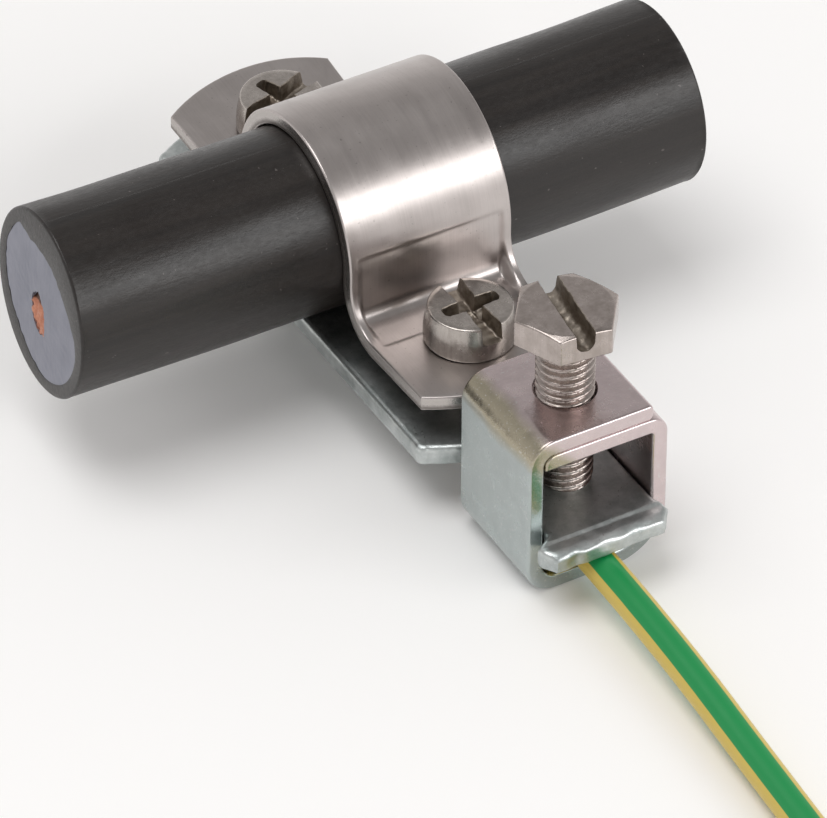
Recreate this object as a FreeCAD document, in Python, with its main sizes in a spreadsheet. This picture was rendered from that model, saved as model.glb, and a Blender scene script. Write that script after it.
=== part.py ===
import FreeCAD, Part
import math
import os
import types

import Sketcher

# Conductor clamp: a folded strap holds a round conductor down on a base plate, and a screw terminal
# on the plate's front tongue holds an earth wire. Millimetres, +Z up, +X along the conductor, and
# the terminal towards -Y. Every piece is drawn about the conductor's axis at the middle of the
# strap, and one placement then puts the whole clamp on the surface that it stands on.

os.makedirs("parts", exist_ok=True)
doc = FreeCAD.newDocument("conductor_clamp")

# Driving sizes in millimetres, angles in degrees.
DRIVING = {
    # the conductor: a black sheath over grey insulation over a copper core
    "conductor_diameter": 26.5,
    "sheath_wall": 2.0,
    "core_diameter": 6.0,
    "layer_clearance": 0.02,
    "core_aside": 1.2,
    "core_drop": 2.0,
    "conductor_left": 51.3,
    "conductor_right": 44.85,
    "left_cut_slope": 0.078,
    # the strap, one folded strip of stainless sheet with a pressed pocket in each bend
    "strap_width": 25.0,
    "strap_sheet": 2.2,
    "strap_clearance": 0.1,
    "strap_gap": 3.9,
    "strap_bend": 5.5,
    "front_corner_reach": 34.6,
    "rear_corner_reach": 35.3,
    "front_foot_tilt": 2.5,
    "rear_foot_tilt": 6.0,
    "foot_end_radius": 22.0,
    "pocket_width": 22.0,
    "pocket_rise": 3.0,
    "pocket_reach": 22.4,
    "pocket_depth": 0.2,
    "pocket_bend": 2.0,
    # the base plate with the tongue that carries the terminal
    "plate_sheet": 3.0,
    "plate_width": 28.0,
    "plate_corner_reach": 36.5,
    "plate_end_radius": 24.8,
    "plate_corner_radius": 1.5,
    "tongue_width": 16.2,
    "tongue_tip": 5.2,
    "left_ear": 2.3,
    "right_ear": 0.7,
    "ear_setback": 0.5,
    "ear_length": 1.1,
    "ear_slope": 1.6,
    # the strap screws, with cheese heads, a full slot and a cross recess
    "screw_reach": 26.0,
    "thread_diameter": 8.0,
    "thread_clearance": 0.06,
    "strap_screw_length": 16.0,
    "cheese_diameter": 12.8,
    "cheese_top_diameter": 12.2,
    "cheese_height": 5.2,
    "cheese_edge": 0.2,
    "cheese_slot_width": 2.3,
    "cheese_slot_depth": 2.6,
    "cross_length": 8.3,
    "cross_width": 1.7,
    "cross_depth": 3.0,
    "front_slot_angle": 85.0,
    "rear_slot_angle": 19.5,
    # the terminal frame, one strip bent into a box with a doubled top
    "frame_sheet": 2.4,
    "frame_depth": 18.0,
    "frame_setback": 2.3,
    "frame_side_clearance": 0.15,
    "frame_headroom": 10.1,
    "lap_clearance": 0.05,
    "lap_end_clearance": 0.12,
    "top_bend": 1.6,
    "lap_bend": 0.4,
    "left_floor_bend": 2.1,
    "right_floor_bend": 5.4,
    "top_overhang": 2.3,
    # the terminal screw, with a slotted hexagon head
    "hexagon_flats": 13.0,
    "hexagon_corners": 14.3,
    "hexagon_height": 4.3,
    "hexagon_chamfer": 0.45,
    "hexagon_chamfer_reach": 0.3,
    "hexagon_turn": 53.3,
    "hexagon_slot_width": 2.8,
    "hexagon_slot_depth": 2.75,
    "hexagon_slot_angle": 82.7,
    "head_lift": 9.5,
    "tip_chamfer": 0.9,
    "terminal_tip_chamfer": 0.3,
    "tip_clearance": 0.05,
    # the earth wire under the tongue
    "wire_diameter": 4.9,
    "wire_core_diameter": 2.76,
    "wire_clearance": 0.05,
    "wire_offset": 1.5,
    "wire_inner_end": 1.3,
    "wire_bare_end": 5.0,
}


class Size:
    """A length with its number now and the formula that keeps it tied to the sheet."""

    def __init__(self, number, formula):
        self.number = float(number)
        self.formula = formula

    def __add__(self, other):
        other = as_size(other)
        return Size(self.number + other.number, f"({self.formula} + {other.formula})")

    def __sub__(self, other):
        other = as_size(other)
        return Size(self.number - other.number, f"({self.formula} - {other.formula})")

    def __mul__(self, other):
        other = as_size(other)
        return Size(self.number * other.number, f"({self.formula} * {other.formula})")

    def __truediv__(self, other):
        other = as_size(other)
        return Size(self.number / other.number, f"({self.formula} / {other.formula})")

    def __neg__(self):
        return Size(-self.number, f"(-1 * {self.formula})")

    def root(self):
        """The square root, for a point on a circle."""
        return Size(math.sqrt(self.number), f"sqrt({self.formula})")


def as_size(value):
    """A plain number as a length that nothing drives."""
    if isinstance(value, Size):
        return value
    return Size(value, f"({value})")


def chord_distance(radius, chord):
    """How far a circle's centre lies from a chord of it."""
    half = chord / 2
    return (radius * radius - half * half).root()


def trig(function, angle):
    """The sine, cosine or tangent of an angle of the sheet in degrees."""
    number = getattr(math, function)(math.radians(angle.number))
    return Size(number, f"{function}({angle.formula})")


def fill_sheet():
    """Writes the driving sizes into the document's sheet and returns them by name."""
    sheet = doc.addObject("Spreadsheet::Sheet", "dims")
    sizes = {}
    for row, (name, value) in enumerate(DRIVING.items(), start=1):
        sheet.set(f"A{row}", name.replace("_", " "))
        sheet.set(f"B{row}", str(value))
        sheet.setAlias(f"B{row}", name)
        sizes[name] = Size(value, f"dims.{name}")
    doc.recompute()
    return types.SimpleNamespace(**sizes)


dim = fill_sheet()

# Radii of the conductor, and the strap's inner and outer face over it.
conductor_radius = dim.conductor_diameter / 2
sheath_bore = conductor_radius - dim.sheath_wall
strap_inside = conductor_radius + dim.strap_clearance
strap_outside = strap_inside + dim.strap_sheet

# Levels along Z, from the conductor's axis down.
plate_top = -conductor_radius
plate_bottom = plate_top - dim.plate_sheet
foot_bottom = plate_top + dim.strap_gap
foot_top = foot_bottom + dim.strap_sheet
floor_top = plate_bottom - dim.wire_diameter - dim.wire_clearance * 2
floor_bottom = floor_top - dim.frame_sheet
lap_bottom = plate_top + dim.frame_headroom
lap_top = lap_bottom + dim.frame_sheet
frame_top = lap_top + dim.lap_clearance + dim.frame_sheet

# Reaches along Y, from the conductor's axis.
plate_end_drop = chord_distance(dim.plate_end_radius, dim.plate_width)
plate_end_reach = dim.plate_corner_reach + dim.plate_end_radius - plate_end_drop
tongue_drop = chord_distance(dim.plate_end_radius, dim.tongue_width)
tongue_root = dim.plate_corner_reach + tongue_drop - plate_end_drop
frame_rear = tongue_root + dim.frame_setback
frame_front = frame_rear + dim.frame_depth
terminal_reach = frame_rear + dim.frame_depth / 2
tip_reach = frame_front + dim.tongue_tip
foot_end_drop = chord_distance(dim.foot_end_radius, dim.strap_width)

# Half widths along X.
frame_half = dim.tongue_width / 2 + dim.frame_side_clearance + dim.frame_sheet
frame_inside = frame_half - dim.frame_sheet

# Screws.
thread_radius = dim.thread_diameter / 2
bore_radius = thread_radius + dim.thread_clearance
terminal_head = frame_top + dim.head_lift
terminal_screw_length = terminal_head - plate_top - dim.tip_clearance

# The clamp's own frame: the middle of its box over the surface that it stands on.
PLACE = (
    (dim.conductor_left + dim.left_cut_slope * conductor_radius - dim.conductor_right) / 2,
    (tip_reach - plate_end_reach) / 2,
    -floor_bottom,
)


def bind(thing, **sizes):
    """Ties properties of an object to sizes; an underscore pair in a name stands for a dot."""
    for name, size in sizes.items():
        thing.setExpression(name.replace("__", "."), as_size(size).formula)
    return thing


def move(thing, x=0.0, y=0.0, z=0.0):
    """Ties an object's place to three sizes."""
    return bind(thing, Placement__Base__x=x, Placement__Base__y=y, Placement__Base__z=z)


def turn(thing, angle, axis=(0, 0, 1)):
    """Turns an object about an axis of its own, upright if none is given, by an angle in degrees."""
    thing.Placement.Rotation = FreeCAD.Rotation(FreeCAD.Vector(*axis), angle.number)
    return bind(thing, Placement__Rotation__Angle=angle)


def block(name, size, place):
    """A box of three sizes with its low corner at the given place."""
    box = doc.addObject("Part::Box", name)
    bind(box, Length=size[0], Width=size[1], Height=size[2])
    return move(box, *place)


def rod(name, radius, height, place):
    """An upright cylinder that starts at the given place."""
    cylinder = doc.addObject("Part::Cylinder", name)
    bind(cylinder, Radius=radius, Height=height)
    return move(cylinder, *place)


def fused(name, pieces):
    """One solid of several that touch."""
    fuse = doc.addObject("Part::MultiFuse", name)
    fuse.Shapes = pieces
    fuse.Refine = True
    return fuse


def cut(name, base, tool):
    """A piece with the tool's volume taken out."""
    result = doc.addObject("Part::Cut", name)
    result.Base = base
    result.Tool = tool
    result.Refine = True
    return result


def common(name, first, second):
    """The volume that two pieces share."""
    result = doc.addObject("Part::MultiCommon", name)
    result.Shapes = [first, second]
    result.Refine = True
    return result


def plane_sketch(body, name, role, offset=None):
    """A sketch on one of its body's origin planes, moved along the plane's normal by offset."""
    sketch = body.newObject("Sketcher::SketchObject", name)
    plane = [feature for feature in body.Origin.OriginFeatures if feature.Role == role][0]
    sketch.AttachmentSupport = [(plane, "")]
    sketch.MapMode = "FlatFace"
    if offset is not None:
        bind(sketch, AttachmentOffset__Base__z=offset)
    return sketch


def arc_between(start, end, radius, ccw):
    """The arc of that radius from start to end, counter-clockwise or clockwise."""
    chord = end - start
    middle = (start + end) * 0.5
    normal = FreeCAD.Vector(-chord.y, chord.x, 0)
    normal.normalize()
    rise = math.sqrt(max(radius * radius - (chord.Length / 2) ** 2, 0.0))
    centre = middle + normal * (rise if ccw else -rise)
    first, last = (start, end) if ccw else (end, start)
    from_centre = first - centre
    to_centre = last - centre
    begin = math.atan2(from_centre.y, from_centre.x)
    finish = math.atan2(to_centre.y, to_centre.x)
    circle = Part.Circle(centre, FreeCAD.Vector(0, 0, 1), radius)
    return Part.ArcOfCircle(circle, begin, finish)


def outline(sketch, corners):
    """Closes an outline through its corners, each (x, y) or (x, y, radius, ccw) where an arc follows.

    Every corner is tied to its two sizes and every arc to its radius."""
    points = [FreeCAD.Vector(as_size(c[0]).number, as_size(c[1]).number, 0) for c in corners]
    starts = []
    for index, corner in enumerate(corners):
        start = points[index]
        end = points[(index + 1) % len(corners)]
        if len(corner) == 2:
            geometry = sketch.addGeometry(Part.LineSegment(start, end))
            starts.append((geometry, 1, 2))
        else:
            arc = arc_between(start, end, corner[2].number, corner[3])
            geometry = sketch.addGeometry(arc)
            starts.append((geometry, 1, 2) if corner[3] else (geometry, 2, 1))
    for index, (geometry, _, tail) in enumerate(starts):
        following, head, _ = starts[(index + 1) % len(starts)]
        sketch.addConstraint(Sketcher.Constraint("Coincident", geometry, tail, following, head))
    for index, corner in enumerate(corners):
        geometry, head, _ = starts[index]
        for kind, size in (("DistanceX", corner[0]), ("DistanceY", corner[1])):
            size = as_size(size)
            tie = Sketcher.Constraint(kind, -1, 1, geometry, head, size.number)
            number = sketch.addConstraint(tie)
            sketch.setExpression(f"Constraints[{number}]", size.formula)
        if len(corner) == 4:
            tie = Sketcher.Constraint("Radius", geometry, corner[2].number)
            number = sketch.addConstraint(tie)
            sketch.setExpression(f"Constraints[{number}]", corner[2].formula)


def screw_holes(name, bottom, height):
    """The two clearance bores that the strap screws pass through, as one tool."""
    front = rod(name + "_front_hole", bore_radius, height, (0, -dim.screw_reach, bottom))
    rear = rod(name + "_rear_hole", bore_radius, height, (0, dim.screw_reach, bottom))
    return fused(name + "_holes", [front, rear])


def padded(name, role, corners, length, offset=None, symmetric=False):
    """A body made by padding one closed outline."""
    body = doc.addObject("PartDesign::Body", name)
    sketch = plane_sketch(body, name + "_outline", role, offset)
    outline(sketch, corners)
    pad = body.newObject("PartDesign::Pad", name + "_pad")
    pad.Profile = sketch
    pad.SideType = "Symmetric" if symmetric else "One side"
    bind(pad, Length=length)
    doc.recompute()
    return body


def turned(name, corners):
    """A body made by turning a half outline (radius, height) all the way about its upright axis."""
    body = doc.addObject("PartDesign::Body", name)
    sketch = plane_sketch(body, name + "_outline", "XZ_Plane")
    outline(sketch, corners)
    revolution = body.newObject("PartDesign::Revolution", name + "_turning")
    revolution.Profile = sketch
    revolution.ReferenceAxis = (sketch, ["V_Axis"])
    revolution.Angle = 360
    doc.recompute()
    return body


def finish(name, piece):
    """Gives a finished piece its label and its place in the clamp's own frame."""
    piece.Label = name
    move(piece, *PLACE)
    return piece


# The way in which the left end's cut leans, across the conductor: out of square towards +Y and +Z.
LEFT_CUT_LEAN = (0.64, 0.768)


def left_saw(name):
    """What the saw takes off the conductor's left end, on a plane a few degrees out of square."""
    reach = dim.conductor_diameter
    waste = block(name + "_waste", (reach, reach * 2, reach * 2), (-reach, -reach, -reach))
    centred = doc.addObject("Part::Compound", name)
    centred.Links = [waste]
    slope = dim.left_cut_slope
    lean = Size(math.degrees(math.atan(slope.number)), f"atan({slope.formula})")
    turn(centred, lean, (0, LEFT_CUT_LEAN[1], -LEFT_CUT_LEAN[0]))
    return move(centred, -dim.conductor_left)


def conductor_layer(name, circles):
    """One layer of the conductor along X, from circles of (radius, centre along Y, centre along Z)."""
    start = dim.conductor_left + dim.sheath_wall
    body = doc.addObject("PartDesign::Body", name + "_drawn")
    sketch = plane_sketch(body, name + "_section", "YZ_Plane", -start)
    for radius, aside, rise in circles:
        centre = FreeCAD.Vector(as_size(aside).number, as_size(rise).number, 0)
        circle = Part.Circle(centre, FreeCAD.Vector(0, 0, 1), radius.number)
        geometry = sketch.addGeometry(circle)
        for kind, size in (("DistanceX", aside), ("DistanceY", rise)):
            size = as_size(size)
            tie = Sketcher.Constraint(kind, -1, 1, geometry, 3, size.number)
            number = sketch.addConstraint(tie)
            sketch.setExpression(f"Constraints[{number}]", size.formula)
        number = sketch.addConstraint(Sketcher.Constraint("Radius", geometry, radius.number))
        sketch.setExpression(f"Constraints[{number}]", radius.formula)
    pad = body.newObject("PartDesign::Pad", name + "_pad")
    pad.Profile = sketch
    bind(pad, Length=start + dim.conductor_right)
    doc.recompute()
    return finish(name, cut(name, body, left_saw(name + "_saw")))


def conductor():
    """The conductor's three layers: the sheath, the insulation and the core, which lies off centre."""
    core = dim.core_diameter / 2
    gap = dim.layer_clearance
    off = (dim.core_aside, -dim.core_drop)
    return [
        conductor_layer("conductor_sheath", [(conductor_radius, 0, 0), (sheath_bore, 0, 0)]),
        conductor_layer("conductor_insulation", [(sheath_bore - gap, 0, 0), (core + gap, *off)]),
        conductor_layer("conductor_core", [(core, *off)]),
    ]


class Foot:
    """The section of one foot of the strap, which tilts up a little away from its bend.

    side is -1 for the front foot and 1 for the rear one."""

    def __init__(self, side):
        self.side = side
        tilt = dim.front_foot_tilt if side < 0 else dim.rear_foot_tilt
        self.sine = trig("sin", tilt)
        self.cosine = trig("cos", tilt)
        self.slope = trig("tan", tilt)
        self.wide = dim.strap_bend + dim.strap_sheet
        self.heel = strap_outside + dim.strap_bend
        self.shin = foot_top + dim.strap_bend

    def touch(self, heel, shin, radius):
        """Where a bend's arc of that radius about (heel, shin) runs into the foot."""
        return (heel + radius * self.sine) * self.side, shin - radius * self.cosine

    def level(self, reach, below):
        """The height of a line of the foot at that reach, square distance below its top face."""
        start = self.shin - (dim.strap_bend + below) * self.cosine
        run = reach - self.heel - (dim.strap_bend + below) * self.sine
        return start + run * self.slope

    def seat(self):
        """The height of the screw's head, which bears on the foot's higher side."""
        return self.level(dim.screw_reach + dim.cheese_diameter / 2, 0)


def strap_profile():
    """The strap's section across the conductor: feet, bends and the half ring between them."""
    bend = dim.strap_bend
    front, rear = Foot(-1), Foot(1)
    wide, heel, shin = front.wide, front.heel, front.shin
    sheet = dim.strap_sheet
    end = dim.rear_corner_reach + dim.foot_end_radius
    return [
        (-end, front.level(end, 0)),
        (*front.touch(heel, shin, bend), bend, True),
        (-strap_outside, shin),
        (-strap_outside, 0, strap_outside, False),
        (0, strap_outside, strap_outside, False),
        (strap_outside, 0),
        (strap_outside, shin, bend, True),
        rear.touch(heel, shin, bend),
        (end, rear.level(end, 0)),
        (end, rear.level(end, sheet)),
        (*rear.touch(heel, shin, wide), wide, False),
        (strap_inside, shin),
        (strap_inside, 0, strap_inside, True),
        (0, strap_inside, strap_inside, True),
        (-strap_inside, 0),
        (-strap_inside, shin, wide, False),
        front.touch(heel, shin, wide),
        (-end, front.level(end, sheet)),
    ]


def pocket_profile(side):
    """The pressed part of one bend, drawn in tight to leave room for the screw's head.

    side is -1 for the front bend and 1 for the rear one."""
    foot = Foot(side)
    face = strap_outside - dim.pocket_depth
    bend = dim.pocket_bend
    wide = bend + dim.strap_sheet - dim.pocket_depth
    heel = face + bend
    shin = foot.level(heel, dim.strap_sheet) + wide / foot.cosine
    reach = dim.pocket_reach
    inner_start = (strap_inside * strap_inside - dim.pocket_rise * dim.pocket_rise).root()
    outer_start = (face * face - dim.pocket_rise * dim.pocket_rise).root()
    front = side < 0
    return [
        (inner_start * side, dim.pocket_rise, strap_inside, front),
        (strap_inside * side, 0),
        (strap_inside * side, shin, wide, front),
        foot.touch(heel, shin, wide),
        (reach * side, foot.level(reach, dim.strap_sheet)),
        (reach * side, foot.level(reach, dim.pocket_depth)),
        (*foot.touch(heel, shin, bend), bend, not front),
        (face * side, shin),
        (face * side, 0, face, not front),
        (outer_start * side, dim.pocket_rise),
    ]


def foot_plan():
    """The strap seen from above: straight sides and a rounded end on each foot."""
    half = dim.strap_width / 2
    front = dim.front_corner_reach
    rear = dim.rear_corner_reach
    crown = dim.foot_end_radius - foot_end_drop
    return [
        (-half, -front, dim.foot_end_radius, True),
        (0, -front - crown, dim.foot_end_radius, True),
        (half, -front),
        (half, rear, dim.foot_end_radius, True),
        (0, rear + crown, dim.foot_end_radius, True),
        (-half, rear),
    ]


def clamp_strap():
    """The folded strap with its two pressed pockets and its two screw holes."""
    strip = padded("strap_strip", "YZ_Plane", strap_profile(), dim.strap_width, symmetric=True)
    pockets = []
    rooms = []
    inner = conductor_radius / 2
    below = foot_bottom - dim.strap_sheet
    for side, name in ((-1, "front"), (1, "rear")):
        pocket = padded(
            f"{name}_pocket", "YZ_Plane", pocket_profile(side), dim.pocket_width, symmetric=True
        )
        pockets.append(pocket)
        near = -dim.pocket_reach if side < 0 else inner
        rooms.append(
            block(
                f"{name}_pocket_room",
                (dim.pocket_width, dim.pocket_reach - inner, dim.pocket_rise - below),
                (-dim.pocket_width / 2, near, below),
            )
        )
    opened = cut("strap_opened", strip, fused("pocket_rooms", rooms))
    pressed = fused("strap_pressed", [opened] + pockets)
    plan = padded(
        "strap_plan", "XY_Plane", foot_plan(), strap_outside * 4, offset=-strap_outside * 2
    )
    shaped = common("strap_shaped", pressed, plan)
    holes = screw_holes("strap", below, strap_outside)
    return finish("clamp_strap", cut("clamp_strap_solid", shaped, holes))


def plate_plan():
    """The plate seen from above: rounded ends, the front tongue and its hammered tip."""
    half = dim.plate_width / 2
    tongue = dim.tongue_width / 2
    corner = dim.plate_corner_reach
    ear_start = frame_front + dim.ear_setback
    ear_back = ear_start + dim.ear_slope
    ear_front = ear_back + dim.ear_length
    left = tongue + dim.left_ear
    right = tongue + dim.right_ear
    return [
        (-half, -corner, dim.plate_end_radius, True),
        (-tongue, -tongue_root),
        (-tongue, -ear_start),
        (-left, -ear_back),
        (-left, -ear_front),
        (-tongue - dim.left_ear / 2, -tip_reach),
        (tongue - dim.right_ear, -tip_reach),
        (right, -ear_front),
        (right, -ear_back),
        (tongue, -ear_start),
        (tongue, -tongue_root, dim.plate_end_radius, True),
        (half, -corner),
        (half, corner, dim.plate_end_radius, True),
        (0, plate_end_reach, dim.plate_end_radius, True),
        (-half, corner),
    ]


def base_plate():
    """The steel plate under the conductor, with two tapped holes and rounded corners."""
    body = padded("plate_body", "XY_Plane", plate_plan(), dim.plate_sheet, offset=plate_bottom)
    pad = body.Tip
    half = dim.plate_width.number / 2
    names = []
    for index, edge in enumerate(pad.Shape.Edges, start=1):
        box = edge.BoundBox
        upright = box.ZLength > 0.9 * dim.plate_sheet.number and box.XLength + box.YLength < 0.01
        if upright and abs(abs(box.XMin) - half) < 0.01:
            names.append(f"Edge{index}")
    fillet = body.newObject("PartDesign::Fillet", "plate_corners")
    fillet.Base = (pad, names)
    bind(fillet, Radius=dim.plate_corner_radius)
    doc.recompute()
    holes = screw_holes("plate", plate_bottom - dim.plate_sheet, dim.plate_sheet * 3)
    return finish("base_plate", cut("base_plate_solid", body, holes))


def frame_profile():
    """The terminal frame's strip, seen from the front, from the top's free end round to its lap."""
    sheet = dim.frame_sheet
    crown = dim.top_bend + sheet
    lap = dim.lap_bend + sheet
    left = dim.left_floor_bend + sheet
    right = dim.right_floor_bend + sheet
    free_end = frame_half - dim.top_overhang
    lap_end = frame_inside - dim.lap_end_clearance
    return [
        (free_end, frame_top),
        (-frame_half + crown, frame_top, crown, True),
        (-frame_half, frame_top - crown),
        (-frame_half, floor_bottom + left, left, True),
        (-frame_half + left, floor_bottom),
        (frame_half - right, floor_bottom, right, True),
        (frame_half, floor_bottom + right),
        (frame_half, lap_top - lap, lap, True),
        (frame_half - lap, lap_top),
        (-lap_end + dim.top_bend, lap_top, dim.top_bend, True),
        (-lap_end, lap_top - dim.top_bend),
        (-lap_end, lap_bottom),
        (frame_half - lap, lap_bottom, dim.lap_bend, False),
        (frame_inside, lap_top - lap),
        (frame_inside, floor_bottom + right, dim.right_floor_bend, False),
        (frame_half - right, floor_top),
        (-frame_half + left, floor_top, dim.left_floor_bend, False),
        (-frame_inside, floor_bottom + left),
        (-frame_inside, frame_top - crown, dim.top_bend, False),
        (-frame_half + crown, frame_top - sheet),
        (free_end, frame_top - sheet),
    ]


def terminal_frame():
    """The bent frame with the tapped hole through both layers of its top."""
    body = padded("frame_strip", "XZ_Plane", frame_profile(), dim.frame_depth, offset=frame_rear)
    hole = rod("frame_hole", bore_radius, frame_top - plate_top, (0, -terminal_reach, plate_top))
    return finish("terminal_frame", cut("terminal_frame_solid", body, hole))


def slot(name, width, depth, length, angle, top, reach):
    """A straight groove of a screw's head, centred on its axis and turned by an angle."""
    box = doc.addObject("Part::Box", name)
    bind(box, Length=length, Width=width, Height=depth * 2)
    move(box, -length / 2, -width / 2, -depth)
    centred = doc.addObject("Part::Compound", name + "_centred")
    centred.Links = [box]
    turn(centred, angle)
    return move(centred, 0, reach, top)


def strap_screw(name, side, slot_angle):
    """A strap screw: a cheese head with a slot across it and a cross recess, and its shank."""
    reach = dim.screw_reach * side
    seat = Foot(side).seat()
    head = dim.cheese_diameter / 2
    top = dim.cheese_top_diameter / 2
    high = seat + dim.cheese_height
    tip = seat - dim.strap_screw_length
    body = turned(
        name + "_turned",
        [
            (0, tip),
            (thread_radius - dim.tip_chamfer, tip),
            (thread_radius, tip + dim.tip_chamfer),
            (thread_radius, seat),
            (head, seat),
            (top, high - dim.cheese_edge),
            (top - dim.cheese_edge, high),
            (0, high),
        ],
    )
    move(body, 0, reach, 0)
    across = slot_angle + 90
    grooves = [
        slot(name + "_slot", dim.cheese_slot_width, dim.cheese_slot_depth,
             dim.cheese_diameter * 2, slot_angle, high, reach),
        slot(name + "_cross", dim.cross_width, dim.cross_depth,
             dim.cross_length, across, high, reach),
        slot(name + "_heart", dim.cross_width, dim.cross_depth,
             dim.cross_length / 2, slot_angle, high, reach),
    ]
    return finish(name, cut(name + "_solid", body, fused(name + "_recess", grooves)))


def terminal_screw():
    """The terminal screw: a hexagon head with a slot across it, standing on the tongue."""
    flats = dim.hexagon_flats / 2
    high = terminal_head + dim.hexagon_height
    tip = terminal_head - terminal_screw_length
    shank = turned(
        "terminal_shank",
        [
            (0, tip),
            (thread_radius - dim.terminal_tip_chamfer, tip),
            (thread_radius, tip + dim.terminal_tip_chamfer),
            (thread_radius, terminal_head + dim.hexagon_height / 2),
            (0, terminal_head + dim.hexagon_height / 2),
        ],
    )
    hexagon = doc.addObject("Part::Prism", "hexagon")
    hexagon.Polygon = 6
    bind(hexagon, Circumradius=dim.hexagon_flats / as_size(3).root(), Height=dim.hexagon_height)
    move(hexagon, 0, 0, terminal_head)
    turn(hexagon, dim.hexagon_turn)
    corner = dim.hexagon_corners / 2
    dome = turned(
        "hexagon_chamfer",
        [
            (0, terminal_head - dim.hexagon_chamfer),
            (corner, terminal_head - dim.hexagon_chamfer),
            (corner, high - dim.hexagon_chamfer),
            (flats - dim.hexagon_chamfer_reach, high),
            (0, high),
        ],
    )
    head = common("hexagon_head", hexagon, dome)
    whole = fused("terminal_screw_whole", [shank, head])
    move(whole, 0, -terminal_reach, 0)
    groove = slot("hexagon_slot", dim.hexagon_slot_width, dim.hexagon_slot_depth,
                  dim.hexagon_flats * 2, dim.hexagon_slot_angle, high, -terminal_reach)
    return finish("terminal_screw", cut("terminal_screw_solid", whole, groove))


# The wire's route in millimetres from the conductor's axis: straight through the terminal, then
# down in a long easy line to the surface that the clamp stands on. Each point is (x, y) and its
# rise above the wire's resting height.
WIRE_ROUTE = (
    (0.0, -62.5, 1.0),
    (-0.3, -86.0, 0.62),
    (-1.4, -107.0, 0.14),
    (-2.5, -126.0, 0.0),
)


def wire_points():
    """The corners of the wire's route, from its inner end behind the terminal."""
    channel = plate_bottom.number - dim.wire_clearance.number - dim.wire_diameter.number / 2
    resting = floor_bottom.number + dim.wire_diameter.number / 2
    offset = -dim.wire_offset.number
    points = [FreeCAD.Vector(offset, -frame_rear.number + dim.wire_inner_end.number, channel)]
    for x, y, rise in WIRE_ROUTE:
        points.append(FreeCAD.Vector(offset + x, y, resting + rise * (channel - resting)))
    return points


def rounded_path(points):
    """Straight runs through the points, joined by arcs as large as each pair of runs allows."""
    edges = []
    start = points[0]
    for before, corner, after in zip(points, points[1:], points[2:]):
        back = before - corner
        ahead = after - corner
        half_turn = (math.pi - back.getAngle(ahead)) / 2
        trim = 0.45 * min(back.Length, ahead.Length)
        radius = trim / math.tan(half_turn)
        print(f"wire bend at y {corner.y:.1f}: radius {radius:.0f} mm")
        enter = corner + back.normalize() * trim
        leave = corner + ahead.normalize() * trim
        bisector = (back + ahead).normalize()
        reach = radius / math.cos(half_turn) - radius
        edges.append(Part.LineSegment(start, enter).toShape())
        edges.append(Part.Arc(enter, corner + bisector * reach, leave).toShape())
        start = leave
    edges.append(Part.LineSegment(start, points[-1]).toShape())
    return Part.Wire(edges)


def tube(path, radius):
    """A round section carried along a path."""
    start = path.Edges[0].Vertexes[0].Point
    direction = path.Edges[0].tangentAt(path.Edges[0].FirstParameter)
    circle = Part.Wire(Part.Circle(start, direction, radius).toShape())
    return path.makePipeShell([circle], True, False)


def earth_wire():
    """The earth wire: its coloured cover along the route and the copper core inside it."""
    points = wire_points()
    path = rounded_path(points)
    core_radius = dim.wire_core_diameter.number / 2
    bare = points[0] + FreeCAD.Vector(0, dim.wire_bare_end.number, 0)
    core_path = rounded_path([bare] + points[1:])
    core = tube(core_path, core_radius)
    bore = tube(core_path, core_radius + dim.layer_clearance.number)
    cover = tube(path, dim.wire_diameter.number / 2).cut(bore)
    print(f"wire path {path.Length:.1f} mm, cover volume {cover.Volume:.0f} mm3")
    pieces = []
    for name, shape in (("earth_wire_cover", cover), ("earth_wire_core", core)):
        piece = doc.addObject("Part::Feature", name)
        piece.Shape = shape.Solids[0]
        pieces.append(finish(name, piece))
    return pieces


def build():
    """Makes every piece of the clamp."""
    pieces = [
        *conductor(),
        base_plate(),
        clamp_strap(),
        strap_screw("strap_screw_front", -1, dim.front_slot_angle),
        strap_screw("strap_screw_rear", 1, dim.rear_slot_angle),
        terminal_frame(),
        terminal_screw(),
    ]
    return pieces + earth_wire()


def check(pieces):
    """Stops on any failed object or bad solid before anything is written."""
    doc.recompute()
    for thing in doc.Objects:
        if "Invalid" in thing.State or "Error" in thing.State:
            raise RuntimeError(f"{thing.Name} failed: {thing.State}")
    for piece in pieces:
        if piece.Shape.isNull() or not piece.Shape.isValid() or len(piece.Shape.Solids) != 1:
            raise RuntimeError(f"{piece.Label} is not one valid solid")


def write(pieces):
    """Writes one file for each piece."""
    for piece in pieces:
        piece.Shape.exportStep(f"parts/{piece.Label}.step")
        box = piece.Shape.BoundBox
        print(
            f"{piece.Label}: volume {piece.Shape.Volume:.0f} mm3,"
            f" x {box.XMin:.2f} {box.XMax:.2f}, y {box.YMin:.2f} {box.YMax:.2f},"
            f" z {box.ZMin:.2f} {box.ZMax:.2f}"
        )


clamp = build()
check(clamp)
write(clamp)
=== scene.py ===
import enum
import logging
import math
from dataclasses import dataclass
from typing import ClassVar

import bmesh
import bpy
import numpy as np
from mathutils import Matrix, Vector
from mathutils.geometry import delaunay_2d_cdt


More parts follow.
